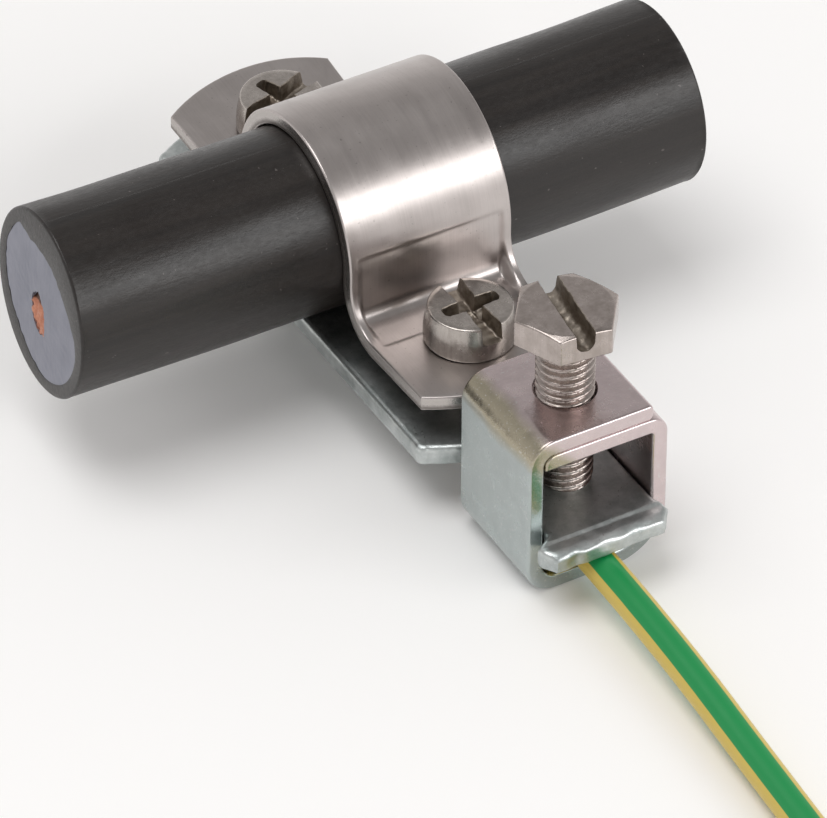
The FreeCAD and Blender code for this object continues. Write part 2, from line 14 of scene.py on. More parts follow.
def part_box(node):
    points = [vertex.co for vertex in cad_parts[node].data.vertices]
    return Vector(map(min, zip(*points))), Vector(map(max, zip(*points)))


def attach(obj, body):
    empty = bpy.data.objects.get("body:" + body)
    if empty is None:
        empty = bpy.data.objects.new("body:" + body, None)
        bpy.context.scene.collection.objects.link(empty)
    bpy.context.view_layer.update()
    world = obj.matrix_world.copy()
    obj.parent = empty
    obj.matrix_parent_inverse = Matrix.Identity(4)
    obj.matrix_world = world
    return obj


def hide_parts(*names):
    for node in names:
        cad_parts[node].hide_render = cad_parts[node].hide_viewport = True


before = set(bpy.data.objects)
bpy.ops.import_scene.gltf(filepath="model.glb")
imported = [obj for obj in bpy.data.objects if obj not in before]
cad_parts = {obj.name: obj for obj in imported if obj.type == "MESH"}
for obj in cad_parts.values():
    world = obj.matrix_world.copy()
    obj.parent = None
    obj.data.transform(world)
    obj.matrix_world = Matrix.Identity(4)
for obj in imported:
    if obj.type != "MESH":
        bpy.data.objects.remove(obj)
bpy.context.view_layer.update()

# The looks of a conductor clamp: a folded strap holds a round cable on a galvanised plate, and a boxed
# screw terminal on the plate's tongue holds an earth wire. Sizes are in millimetres from the cable's
# axis at the middle of the strap, as in the construction; Datum puts them into the frame, in metres.

LOG = logging.getLogger("conductor_clamp")
MM = 0.001
PHOTO_WIDTH = 827
Array = np.ndarray
Socket = bpy.types.NodeSocket


@dataclass(frozen=True)
class Datum:
    """Where the cable's axis crosses the middle of the strap, in metres, read from the frame."""

    x: float
    y: float
    z: float

    @classmethod
    def from_frame(cls) -> "Datum":
        """Reads the datum from the strap's and the sheath's boxes.

        Returns:
            The datum point.
        """
        strap_low, strap_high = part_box("clamp_strap")
        sheath_low, sheath_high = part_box("conductor_sheath")
        return cls(
            (strap_low.x + strap_high.x) / 2,
            (sheath_low.y + sheath_high.y) / 2,
            (sheath_low.z + sheath_high.z) / 2,
        )

    def world(self, points: Array) -> Array:
        """Points in millimetres from the datum as points of the frame in metres."""
        return np.asarray(points, float) * MM + np.array((self.x, self.y, self.z))

    def local(self, points: Array) -> Array:
        """Points of the frame in metres as points in millimetres from the datum."""
        return (np.asarray(points, float) - np.array((self.x, self.y, self.z))) / MM


DATUM = Datum.from_frame()


# Numbers and shapes worked out as whole arrays.


def waves(points: Array, length: float, seed: int, count: int = 24) -> Array:
    """A smooth random field with a root mean square of 1.

    Formula: the sum of sine waves of about one wavelength, each in a random direction and with a
    random phase, over the square root of half their number.

    Args:
        points: the places, one per row of the last axis.
        length: the mean wavelength, in the points' unit.
        seed: chooses the waves.
        count: how many waves are summed.

    Returns:
        One value per point.
    """
    random = np.random.default_rng(seed)
    direction = random.normal(size=(count, points.shape[-1]))
    direction /= np.linalg.norm(direction, axis=1, keepdims=True)
    pitch = direction * random.uniform(0.6, 1.6, size=(count, 1)) / length
    phase = random.uniform(0, 2 * math.pi, count)
    return math.sqrt(2 / count) * np.sin(2 * math.pi * points @ pitch.T + phase).sum(-1)


def step(values: Array, low: float, high: float) -> Array:
    """Rises smoothly from 0 at low to 1 at high, as 3t^2 - 2t^3 of the share t of the way."""
    share = np.clip((np.asarray(values, float) - low) / (high - low), 0, 1)
    return share * share * (3 - 2 * share)


def rounding(radius: float, count: int = 4) -> tuple[Array, Array]:
    """A quarter-round edge as insets from the side and drops from the top.

    Formula: at each angle from 0 to 90 degrees the inset is radius (1 - sin) and the drop is
    radius (1 - cos).

    Args:
        radius: the edge's radius.
        count: the number of steps round it.

    Returns:
        The insets and the drops, from the top face's edge out to the side.
    """
    angle = np.linspace(0, math.pi / 2, count + 1)
    return radius * (1 - np.sin(angle)), radius * (1 - np.cos(angle))


def trace(corners: list[tuple], spacing: float, arc_step: float = 7.5) -> Array:
    """A closed outline through its corners, in runs and arcs.

    Formula: a run is divided evenly, and an arc of radius r from a to b has its centre on the
    chord's bisector at the square root of r squared less half the chord squared.

    Args:
        corners: (x, y), or (x, y, radius, counter_clockwise) where an arc follows.
        spacing: the longest step along a run.
        arc_step: the largest step round an arc, in degrees.

    Returns:
        The outline's points, one per row, with no point repeated.
    """
    parts = []
    for index, corner in enumerate(corners):
        start = np.array(corner[:2], float)
        end = np.array(corners[(index + 1) % len(corners)][:2], float)
        chord = end - start
        length = float(np.hypot(*chord))
        if length < 1e-9:
            continue
        if len(corner) == 2:
            count = max(1, math.ceil(length / spacing))
            share = np.arange(count)[:, None] / count
            parts.append(start + share * chord)
            continue
        radius, turning_left = corner[2], corner[3]
        normal = np.array((-chord[1], chord[0])) / length
        rise = math.sqrt(max(radius**2 - length**2 / 4, 0.0))
        centre = (start + end) / 2 + normal * (rise if turning_left else -rise)
        first = math.atan2(*(start - centre)[::-1])
        sweep = 2 * math.asin(min(1.0, length / 2 / radius)) * (1 if turning_left else -1)
        count = max(2, math.ceil(abs(math.degrees(sweep)) / arc_step))
        angle = first + sweep * np.arange(count) / count
        parts.append(centre + radius * np.stack([np.cos(angle), np.sin(angle)], 1))
    return np.concatenate(parts)


def outward(outline: Array) -> Array:
    """The mitred outward normals of a counter-clockwise outline.

    Formula: the two neighbouring edges' normals a and b give (a + b) / (1 + a.b).

    Args:
        outline: the closed outline's points.

    Returns:
        One normal per point, longer at a sharp corner so that an inset keeps its width.
    """
    edge = np.roll(outline, -1, 0) - outline
    edge /= np.linalg.norm(edge, axis=1, keepdims=True)
    after = np.stack([edge[:, 1], -edge[:, 0]], 1)
    before = np.roll(after, 1, 0)
    dot = np.clip((after * before).sum(1, keepdims=True), -0.5, 1)
    normal = (after + before) / (1 + dot)
    area = np.sum(outline[:, 0] * np.roll(outline[:, 1], -1) - np.roll(outline[:, 0], -1) * outline[:, 1])
    return normal if area > 0 else -normal


def turns(count: int) -> Array:
    """Even angles once round, in radians."""
    return 2 * math.pi * np.arange(count) / count


def carried(outline: Array, first: float, last: float, radius: float, rows: int, share: float = 1.0) -> tuple:
    """An outline carried from one level to another, with both rims rounded.

    Args:
        outline: the closed outline, one point per row.
        first: the level where it starts.
        last: the level where it ends.
        radius: the first rim's radius.
        rows: how many rows the wall between the rims has, its ends included.
        share: the last rim's size as a share of the first one's.

    Returns:
        The plane points of every ring, and the rings' levels in the same shape.
    """
    inset, drop = rounding(radius, 4)
    way = 1 if last > first else -1
    wall = np.linspace(first + way * radius, last - way * radius, rows)[1:-1]
    depth = np.concatenate([inset, 0 * wall, share * inset[::-1]])
    level = np.concatenate([first + way * drop, wall, last - way * share * drop[::-1]])
    return outline - outward(outline) * depth[:, None, None], level[:, None] + 0 * outline[:, 0]


def circle(radius: float, centre: tuple[float, float], count: int) -> Array:
    """Points evenly round a circle, counter-clockwise."""
    angle = 2 * math.pi * np.arange(count) / count
    return np.array(centre) + radius * np.stack([np.cos(angle), np.sin(angle)], 1)


def resample(path: Array, count: int) -> Array:
    """A path's points again at even steps along its length, ends kept."""
    length = np.concatenate([[0], np.cumsum(np.linalg.norm(np.diff(path, axis=0), axis=1))])
    wanted = np.linspace(0, length[-1], count)
    return np.stack([np.interp(wanted, length, path[:, k]) for k in range(path.shape[1])], 1)


def arc(centre: tuple[float, float], radius: float, first: float, last: float, count: int) -> Array:
    """Points round an arc between two angles in degrees, both ends kept."""
    angle = np.radians(np.linspace(first, last, count))
    return np.array(centre) + radius * np.stack([np.cos(angle), np.sin(angle)], 1)


def within(points: Array, outline: Array, margin: float) -> Array:
    """Which points lie inside an outline and clear of it by a margin.

    Formula: a point is inside where a ray along x crosses the outline an odd number of times."""
    following = np.roll(outline, -1, 0)
    y = points[:, 1:2]
    crosses = (outline[:, 1] > y) != (following[:, 1] > y)
    rise = following[:, 1] - outline[:, 1]
    rise = np.where(np.abs(rise) < 1e-12, 1e-12, rise)
    at = outline[:, 0] + (y - outline[:, 1]) / rise * (following[:, 0] - outline[:, 0])
    odd = (crosses & (points[:, :1] < at)).sum(1) % 2 == 1
    gap = np.sqrt(((points[:, None] - outline[None]) ** 2).sum(-1)).min(1)
    return odd & (gap > margin)


class Shell:
    """Collects patches of a surface in millimetres and makes one closed mesh of them."""

    def __init__(self) -> None:
        self.points: list[Array] = []
        self.notes: list[Array] = []
        self.faces: list[list[int]] = []
        self.count = 0

    def add(self, points: Array, note: Array | None = None) -> int:
        """Adds points with an optional note of three numbers each.

        Args:
            points: the new points, one per row.
            note: what the finish reads at each point; the points themselves if left out.

        Returns:
            The number of the first new point.
        """
        first = self.count
        self.points.append(np.asarray(points, float).reshape(-1, 3))
        self.notes.append(np.asarray(points if note is None else note, float).reshape(-1, 3))
        self.count += len(self.points[-1])
        return first

    def grid(self, points: Array, note: Array | None = None, closed: bool = False) -> None:
        """Adds a grid of points as quads.

        Args:
            points: rows by columns by three.
            note: what the finish reads, in the same shape.
            closed: joins the last column to the first.
        """
        rows, columns = points.shape[:2]
        first = self.add(points, note)
        number = first + np.arange(rows * columns).reshape(rows, columns)
        if closed:
            number = np.concatenate([number, number[:, :1]], 1)
        quads = np.stack([number[:-1, :-1], number[:-1, 1:], number[1:, 1:], number[1:, :-1]], -1)
        self.faces.extend(quads.reshape(-1, 4).tolist())

    def fans(self, points: Array, note: Array | None = None) -> None:
        """Closes a tube's first and last row, each with a fan to its middle."""
        for row in (points[0], points[-1]):
            self.grid(np.stack([row, np.broadcast_to(row.mean(0), row.shape)]), note, closed=True)

    def cap(self, loops: list[Array], inside: Array | None, lift, holes: list[tuple] = ()) -> None:
        """Fills a flat outline with triangles.

        Args:
            loops: closed outlines in the cap's own plane.
            inside: extra points inside, or None.
            lift: turns plane points into points of the shell and their notes.
            holes: (x, y, radius) of round holes that stay open.
        """
        corners = np.concatenate(loops + ([inside] if inside is not None and len(inside) else []))
        edges = []
        start = 0
        for loop in loops:
            number = start + np.arange(len(loop))
            edges.extend(np.stack([number, np.roll(number, -1)], 1).tolist())
            start += len(loop)
        found = delaunay_2d_cdt([Vector(c) for c in corners.tolist()], edges, [], 1, 1e-7, False)
        flat = np.array([tuple(v) for v in found[0]])
        triangles = np.array(found[2])
        middle = flat[triangles].mean(1)
        keep = within(middle, loops[0], 0.0)
        for x, y, radius in holes:
            keep &= np.hypot(middle[:, 0] - x, middle[:, 1] - y) > radius * 0.999
        points, note = lift(flat)
        first = self.add(points, note)
        self.faces.extend((triangles[keep] + first).tolist())

    def build(self, name: str, sharp: float = 38.0, weld: float = 0.002) -> bpy.types.Object:
        """Makes the finished object, welded, with its faces outwards and its place in its mesh.

        Args:
            name: the object's name.
            sharp: the angle in degrees above which an edge stays sharp.
            weld: points nearer than this, in millimetres, become one.

        Returns:
            The new object.
        """
        mesh = bpy.data.meshes.new(name)
        mesh.from_pydata(DATUM.world(np.concatenate(self.points)).tolist(), [], self.faces)
        note = mesh.attributes.new("note", "FLOAT_VECTOR", "POINT")
        note.data.foreach_set("vector", (np.concatenate(self.notes) * MM).astype(np.float32).ravel())
        form = bmesh.new()
        form.from_mesh(mesh)
        bmesh.ops.remove_doubles(form, verts=form.verts, dist=weld * MM)
        bmesh.ops.dissolve_degenerate(form, edges=form.edges, dist=weld * MM / 4)
        bmesh.ops.recalc_face_normals(form, faces=form.faces)
        form.to_mesh(mesh)
        form.free()
        dress_normals(mesh, sharp)
        piece = bpy.data.objects.new(name, mesh)
        bpy.context.scene.collection.objects.link(piece)
        return piece


def dress_normals(mesh: bpy.types.Mesh, sharp: float) -> None:
    """Shades a mesh smooth, with its edges sharp above an angle in degrees."""
    mesh.polygons.foreach_set("use_smooth", np.ones(len(mesh.polygons), bool))
    mesh.set_sharp_from_angle(angle=math.radians(sharp))
    mesh.update()


def bored(piece: bpy.types.Object, cutter: bpy.types.Object, sharp: float = 38.0) -> bpy.types.Object:
    """Cuts one closed mesh out of another, which keeps the cutter's finish there, and deletes the cutter.

    Args:
        piece: the piece that is cut.
        cutter: the closed mesh that is taken out of it.
        sharp: the angle in degrees above which an edge stays sharp.

    Returns:
        The piece.
    """
    modifier = piece.modifiers.new("bore", "BOOLEAN")
    modifier.operation = "DIFFERENCE"
    modifier.solver = "EXACT"
    modifier.material_mode = "TRANSFER"
    modifier.object = cutter
    bpy.context.view_layer.update()
    graph = bpy.context.evaluated_depsgraph_get()
    mesh = bpy.data.meshes.new_from_object(piece.evaluated_get(graph))
    piece.modifiers.clear()
    old, piece.data = piece.data, mesh
    mesh.name = piece.name
    bpy.data.meshes.remove(old)
    bpy.data.objects.remove(cutter)
    dress_normals(mesh, sharp)
    return piece


def weigh_normals(piece: bpy.types.Object) -> None:
    """Lets the large flat faces of a piece set the shading of its rounded edges."""
    modifier = piece.modifiers.new("flat_faces", "WEIGHTED_NORMAL")
    modifier.mode = "FACE_AREA"
    modifier.keep_sharp = True


# Materials.


def linear(code: str) -> tuple[float, float, float, float]:
    """An sRGB hex colour such as '#8a9096' as linear red, green, blue and a full alpha."""
    channel = np.array([int(code[k : k + 2], 16) for k in (1, 3, 5)]) / 255
    value = np.where(channel <= 0.04045, channel / 12.92, ((channel + 0.055) / 1.055) ** 2.4)
    return (*value.tolist(), 1.0)


def add(
    tree: bpy.types.NodeTree, kind: str, settings: dict | None = None, out: int | str = 0, **inputs
) -> bpy.types.NodeSocket | None:
    """Adds one node with its settings, values and links.

    Args:
        tree: the node tree.
        kind: the node's type name after 'ShaderNode'.
        settings: the node's own properties; 'stops' fills a colour ramp with (position, hex colour
            or grey number) from low to high.
        out: the output that is wanted, by number or name.
        **inputs: sockets by name, with underscores for spaces, or by number as n0, n1 and so on;
            each a value, a hex colour or another node's output socket.

    Returns:
        The wanted output socket, or None where the node has none.
    """
    node = tree.nodes.new("ShaderNode" + kind)
    for name, value in (settings or {}).items():
        if name != "stops":
            setattr(node, name, value)
            continue
        line = node.color_ramp.elements
        while len(line) < len(value):
            line.new(0.5)
        for element, (position, colour) in zip(line, value):
            element.position = position
            element.color = linear(colour) if isinstance(colour, str) else (colour, colour, colour, 1.0)
    for name, value in inputs.items():
        socket = node.inputs[int(name[1:]) if name[1:].isdigit() else name.replace("_", " ")]
        if isinstance(value, bpy.types.NodeSocket):
            tree.links.new(value, socket)
        else:
            socket.default_value = linear(value) if isinstance(value, str) else value
    return node.outputs[out] if node.outputs else None


MIX = {"data_type": "RGBA"}
MULTIPLY = {"data_type": "RGBA", "blend_type": "MULTIPLY"}
MULTIPLY_ADD = {"operation": "MULTIPLY_ADD"}


@dataclass(frozen=True)
class Noise:
    """A random field: its grain in millimetres, its stretch, its detail, and if it follows the note."""

    grain: float
    stretch: tuple[float, float, float] = (1, 1, 1)
    detail: float = 3.0
    rough: float = 0.6
    on_note: bool = False


@dataclass(frozen=True)
class Finish:
    """What every finish has: a name, its random fields, and its bumps as (field, strength, height in mm)."""

    name: str
    noises: ClassVar[dict[str, Noise]] = {}
    bumps: ClassVar[tuple[tuple[str, float, float], ...]] = ()

    def paint(self, tree: bpy.types.NodeTree, noise: dict, note: Socket, place: Socket) -> dict:
        """Adds the finish's own nodes.

        Args:
            tree: the material's nodes.
            noise: the random fields by name.
            note: what the mesh notes at each point.
            place: the place on the object.

        Returns:
            The shader's inputs by name, except its normal.
        """
        raise NotImplementedError

    def material(self) -> bpy.types.Material:
        """Makes the material: its fields, its own nodes, and its bumps one upon another."""
        material = bpy.data.materials.new(self.name)
        material.use_nodes = True
        tree = material.node_tree
        tree.nodes.clear()
        note = add(tree, "Attribute", {"attribute_name": "note"}, "Vector")
        place = add(tree, "TexCoord", None, "Object")
        noise = {}
        for name, field in self.noises.items():
            at = note if field.on_note else place
            if field.stretch != (1, 1, 1):
                at = add(tree, "Mapping", Vector=at, Scale=field.stretch)
            scale = 1 / (field.grain * MM)
            noise[name] = add(tree, "TexNoise", Vector=at, Scale=scale, Detail=field.detail, Roughness=field.rough)
        inputs = self.paint(tree, noise, note, place)
        for name, strength, height in self.bumps:
            under = {"Normal": inputs["Normal"]} if "Normal" in inputs else {}
            inputs["Normal"] = add(
                tree, "Bump", Strength=strength, Distance=height * MM, Height=noise[name], **under
            )
        add(tree, "OutputMaterial", Surface=add(tree, "BsdfPrincipled", **inputs))
        return material


@dataclass(frozen=True)
class RolledSteel(Finish):
    """Cold-rolled stainless sheet: a warm grey metal with fine lines along the rolling direction.

    The lines run along the strip, so over the bends they show as hairlines, spread each highlight
    a little and break it into short streaks. The note is (across the strip, along it, height)."""

    light: str = "#c1bab7"
    dark: str = "#b2aba8"
    roughness: float = 0.31
    noises: ClassVar[dict[str, Noise]] = {
        "lines": Noise(0.2, (1, 0.2 / 7.0, 1), on_note=True),
        "bands": Noise(1.8, (1, 0.12, 1), rough=0.55, on_note=True),
        "cloud": Noise(7.0, detail=4.0, rough=0.55, on_note=True),
        "speck": Noise(0.45, detail=1.0, rough=0.5, on_note=True),
    }
    bumps: ClassVar[tuple] = (("lines", 0.14, 0.01), ("bands", 0.08, 0.06), ("cloud", 0.15, 0.3))

    def paint(self, tree: bpy.types.NodeTree, noise: dict, note: Socket, place: Socket) -> dict:
        """Lines over clouds, with a few dark specks."""
        tone = add(tree, "Math", MULTIPLY_ADD, n0=noise["lines"], n1=0.5, n2=noise["cloud"])
        colour = add(tree, "ValToRGB", {"stops": [(0.55, self.dark), (0.95, self.light)]}, Fac=tone)
        spots = add(tree, "ValToRGB", {"stops": [(0.0, 0.6), (0.24, 0.75), (0.28, 1.0)]}, Fac=noise["speck"])
        colour = add(tree, "Mix", MULTIPLY, 2, Factor=1.0, n6=colour, n7=spots)
        gloss = add(
            tree, "MapRange", Value=noise["bands"], From_Min=0.3, From_Max=0.7,
            To_Min=self.roughness - 0.02, To_Max=self.roughness + 0.03,
        )
        return {"Metallic": 1.0, "Base_Color": colour, "Roughness": gloss}


@dataclass(frozen=True)
class ShearedEdge(Finish):
    """The sheared edge of sheet metal: a bright burnished band above a grey torn one."""

    light: str = "#bcb6b2"
    dark: str = "#88827e"
    sheet: float = 2.2
    noises: ClassVar[dict[str, Noise]] = {"grain": Noise(0.4, detail=4.0, rough=0.65, on_note=True)}
    bumps: ClassVar[tuple] = (("grain", 0.35, 0.06),)

    def paint(self, tree: bpy.types.NodeTree, noise: dict, note: Socket, place: Socket) -> dict:
        """The note's third number is the height through the sheet."""
        height = add(tree, "SeparateXYZ", None, "Z", n0=note)
        share = add(tree, "Math", {"operation": "MULTIPLY"}, n0=height, n1=1 / (self.sheet * MM))
        wobble = add(tree, "Math", MULTIPLY_ADD, n0=noise["grain"], n1=0.35, n2=share)
        colour = add(tree, "ValToRGB", {"stops": [(0.4, self.dark), (0.62, self.light)]}, Fac=wobble)
        gloss = add(tree, "ValToRGB", {"stops": [(0.45, 0.42), (0.65, 0.24)]}, Fac=wobble)
        return {"Metallic": 1.0, "Base_Color": colour, "Roughness": gloss}


@dataclass(frozen=True)
class Galvanised(Finish):
    """Hot-dip galvanised steel: dull greenish grey zinc, mottled and pitted, with painted glints.

    The zinc's crystals give a cloudy mottle a few millimetres wide, small flecks are glossier and painted lighter as
    glints of light, and the zinc is rubbed bright in places along a broken edge."""

    light: str = "#d0d4d3"
    dark: str = "#a1a8a7"
    # The painted glints' colour.
    painted_glint: str = "#cdd1cf"
    roughness: float = 0.42
    noises: ClassVar[dict[str, Noise]] = {
        "cloud": Noise(3.2, detail=5.0, rough=0.65),
        "grain": Noise(0.45),
        "glint_flecks": Noise(0.3, detail=1.0, rough=0.5),
    }
    bumps: ClassVar[tuple] = (("grain", 0.35, 0.08), ("cloud", 0.25, 0.25))

    def paint(self, tree: bpy.types.NodeTree, noise: dict, note: Socket, place: Socket) -> dict:
        """The note's third number is 1 in the middle of a broken edge."""
        broken = add(tree, "SeparateXYZ", None, "Z", n0=note)
        rubbed = add(tree, "Math", MULTIPLY_ADD, n0=broken, n1=0.32 / MM, n2=noise["cloud"])
        colour = add(tree, "ValToRGB", {"stops": [(0.3, self.dark), (0.7, self.light)]}, Fac=noise["cloud"])
        # Painted glints: flecks lifted towards a lighter grey, standing in for light caught by the grains.
        bright = add(tree, "ValToRGB", {"stops": [(0.67, 0.0), (0.76, 0.8)]}, Fac=noise["glint_flecks"])
        worn = add(tree, "ValToRGB", {"stops": [(0.68, 0.0), (0.78, 0.4)]}, Fac=rubbed)
        # Painted glints together with real wear at the broken edge; both also lower the roughness.
        painted_glint_and_wear = add(tree, "Math", {"operation": "MAXIMUM"}, n0=bright, n1=worn)
        colour = add(tree, "Mix", MIX, 2, Factor=painted_glint_and_wear, n6=colour, n7=self.painted_glint)
        gloss = add(tree, "MapRange", Value=painted_glint_and_wear, To_Min=self.roughness, To_Max=self.roughness - 0.2)
        return {"Metallic": 1.0, "Base_Color": colour, "Roughness": gloss}


@dataclass(frozen=True)
class PassivatedZinc(Finish):
    """Bright zinc plate with a clear passivation: glossy, faintly tinted where the film is thin.

    The film is as thin as light's wavelength, and its hues are laid out round the top left bend: a bluish grey side,
    an olive bend, and a faint pink on the top and the front. Their lightness is partly painted light, set face by
    face to how bright each face looks lit, the top lighter than the side; light grey specks are painted glints."""

    bend_x: float = 0.0
    bend_z: float = 0.0
    side: str = "#b6bebd"
    bend: str = "#b2aa96"
    top: str = "#d8c9c9"
    roughness: float = 0.22
    noises: ClassVar[dict[str, Noise]] = {
        "drift": Noise(8.0, detail=2.0, rough=0.5),
        "cloud": Noise(2.5, detail=5.0),
        "grain": Noise(0.35),
    }
    bumps: ClassVar[tuple] = (("grain", 0.16, 0.05), ("cloud", 0.22, 0.3))

    def paint(self, tree: bpy.types.NodeTree, noise: dict, note: Socket, place: Socket) -> dict:
        """The way round the top left bend is x + z from its axis: -4 mm at its foot, 4 mm at its head."""
        parts = add(tree, "Mapping", Vector=place, Location=(-self.bend_x, 0, -self.bend_z))
        along = add(tree, "VectorMath", {"operation": "DOT_PRODUCT"}, "Value", n0=parts, n1=(1, 0, 1))
        shifted = add(tree, "Math", MULTIPLY_ADD, n0=noise["drift"], n1=4 * MM, n2=along)
        way = add(tree, "MapRange", Value=shifted, From_Min=-4 * MM, From_Max=8 * MM)
        # Painted light: these tones differ in lightness as well as hue, set face by face to how bright each face
        # looks lit, the top lighter than the side.
        tones_and_painted_light = [(0.12, self.side), (0.3, self.bend), (0.6, self.bend), (0.78, self.top)]
        tint_and_painted_light = add(tree, "ValToRGB", {"stops": tones_and_painted_light}, Fac=way)
        shade = add(tree, "ValToRGB", {"stops": [(0.25, 0.86), (0.7, 1.0)]}, Fac=noise["cloud"])
        # Painted glints: specks lifted to a light grey where the grain noise is high.
        painted_glint = add(tree, "ValToRGB", {"stops": [(0.61, 0.0), (0.7, 0.7)]}, Fac=noise["grain"])
        colour = add(tree, "Mix", MULTIPLY, 2, Factor=1.0, n6=tint_and_painted_light, n7=shade)
        # The painted glints' light grey.
        colour = add(tree, "Mix", MIX, 2, Factor=painted_glint, n6=colour, n7="#d9d8d6")
        gloss = add(
            tree, "MapRange", Value=noise["cloud"], From_Min=0.3, From_Max=0.7,
            To_Min=self.roughness - 0.03, To_Max=self.roughness + 0.08,
        )
        return {"Metallic": 1.0, "Base_Color": colour, "Roughness": gloss}


@dataclass(frozen=True)
class TurnedSteel(Finish):
    """A turned or forged stainless screw: satin warm grey, with fine lines along its sides.

    The lines stand upright, as the tool left them on the head's sides."""

    light: str = "#c3bcb6"
    dark: str = "#a69f99"
    roughness: float = 0.22
    noises: ClassVar[dict[str, Noise]] = {
        "lines": Noise(0.5, (1, 1, 0.02)),
        "cloud": Noise(2.2, detail=5.0, rough=0.65),
        "grain": Noise(0.3),
    }
    bumps: ClassVar[tuple] = (("grain", 0.2, 0.05),)

    def paint(self, tree: bpy.types.NodeTree, noise: dict, note: Socket, place: Socket) -> dict:
        """Lines over clouds."""
        tone = add(tree, "Math", MULTIPLY_ADD, n0=noise["lines"], n1=0.6, n2=noise["cloud"])
        colour = add(tree, "ValToRGB", {"stops": [(0.6, self.dark), (1.0, self.light)]}, Fac=tone)
        gloss = add(
            tree, "MapRange", Value=noise["cloud"], From_Min=0.3, From_Max=0.7,
            To_Min=self.roughness - 0.04, To_Max=self.roughness + 0.09,
        )
        return {"Metallic": 1.0, "Base_Color": colour, "Roughness": gloss}


@dataclass(frozen=True)
class BrownRecess(Finish):
    """The forged recess of a stainless screw: rough, and darker and browner than the head, in clouds of two tones."""

    light: str = "#a69d92"
    dark: str = "#766c62"
    noises: ClassVar[dict[str, Noise]] = {"cloud": Noise(1.1, detail=4.0, rough=0.65), "grain": Noise(0.35)}
    bumps: ClassVar[tuple] = (("grain", 0.3, 0.08),)

    def paint(self, tree: bpy.types.NodeTree, noise: dict, note: Socket, place: Socket) -> dict:
        """Clouds of two tones."""
        # Darker, browner tones than the head's, through the whole recess.
        colour = add(tree, "ValToRGB", {"stops": [(0.32, self.dark), (0.68, self.light)]}, Fac=noise["cloud"])
        return {"Metallic": 1.0, "Base_Color": colour, "Roughness": 0.42}


@dataclass(frozen=True)
class ExtrudedSheath(Finish):
    """Black polyethylene drawn over the cable: satin, with a fine grain, die lines and pale scuffs.

    The note is (length along the cable, arc round it, radius)."""

    colour: str = "#231e1b"
    dark: str = "#181412"
    scuff: str = "#6a6462"
    roughness: float = 0.35
    noises: ClassVar[dict[str, Noise]] = {
        "lines": Noise(1.6, (0.03, 1, 1), 4.0, 0.55, True),
        "grain": Noise(0.5, (0.5, 1, 1), 4.0, 0.65, True),
        "cloud": Noise(14.0, rough=0.5),
        "speck": Noise(0.8, detail=1.0, rough=0.5),
    }
    bumps: ClassVar[tuple] = (("grain", 0.6, 0.06), ("lines", 0.16, 0.2))

    def paint(self, tree: bpy.types.NodeTree, noise: dict, note: Socket, place: Socket) -> dict:
        """Die lines with pale specks, and a gloss that changes with grain and cloud."""
        colour = add(tree, "ValToRGB", {"stops": [(0.35, self.dark), (0.65, self.colour)]}, Fac=noise["lines"])
        spots = add(tree, "ValToRGB", {"stops": [(0.765, 0.0), (0.79, 0.5)]}, Fac=noise["speck"])
        colour = add(tree, "Mix", MIX, 2, Factor=spots, n6=colour, n7=self.scuff)
        mixed = add(tree, "Math", MULTIPLY_ADD, n0=noise["cloud"], n1=0.8, n2=noise["grain"])
        gloss = add(
            tree, "MapRange", Value=mixed, From_Min=0.65, From_Max=1.2,
            To_Min=self.roughness - 0.07, To_Max=self.roughness + 0.1,
        )
        return {"IOR": 1.5, "Base_Color": colour, "Roughness": gloss}


@dataclass(frozen=True)
class CutPlastic(Finish):
    """Sawn polyethylene: matt bluish grey, with fine upright saw lines and a cloudy tone."""

    light: str = "#8a8b96"
    dark: str = "#7d7f8a"
    noises: ClassVar[dict[str, Noise]] = {"lines": Noise(0.35, (1, 1, 0.04)), "cloud": Noise(5.0, rough=0.5)}
    bumps: ClassVar[tuple] = (("lines", 0.15, 0.06),)

    def paint(self, tree: bpy.types.NodeTree, noise: dict, note: Socket, place: Socket) -> dict:
        """Saw lines over clouds."""
        tone = add(tree, "Math", MULTIPLY_ADD, n0=noise["lines"], n1=0.5, n2=noise["cloud"])
        colour = add(tree, "ValToRGB", {"stops": [(0.55, self.dark), (0.95, self.light)]}, Fac=tone)
        return {"Base_Color": colour, "Roughness": 0.6}


@dataclass(frozen=True)
class CutCopper(Finish):
    """Copper sawn across: salmon red, smeared, with a brown hollow at one end of the patch."""

    light: str = "#c88c72"
    dark: str = "#ac6e57"
    hollow: str = "#5a3f33"
    hollow_share: float = 1.0
    noises: ClassVar[dict[str, Noise]] = {"cloud": Noise(1.0, detail=4.0, rough=0.65)}
    bumps: ClassVar[tuple] = (("cloud", 0.4, 0.15),)

    def paint(self, tree: bpy.types.NodeTree, noise: dict, note: Socket, place: Socket) -> dict:
        """The note's third number is 1 at the hollow and 0 away from it."""
        metal = add(tree, "ValToRGB", {"stops": [(0.3, self.dark), (0.65, self.light)]}, Fac=noise["cloud"])
        deep = add(tree, "SeparateXYZ", None, "Z", n0=note)
        share = add(tree, "Math", {"operation": "MULTIPLY"}, n0=deep, n1=self.hollow_share / MM)
        raised = add(tree, "Math", MULTIPLY_ADD, n0=noise["cloud"], n1=0.5, n2=share)
        shade = add(tree, "MapRange", Value=raised, From_Min=0.62, From_Max=0.95)
        colour = add(tree, "Mix", MIX, 2, Factor=shade, n6=metal, n7=self.hollow)
        return {"Metallic": 0.6, "Base_Color": colour, "Roughness": 0.42}


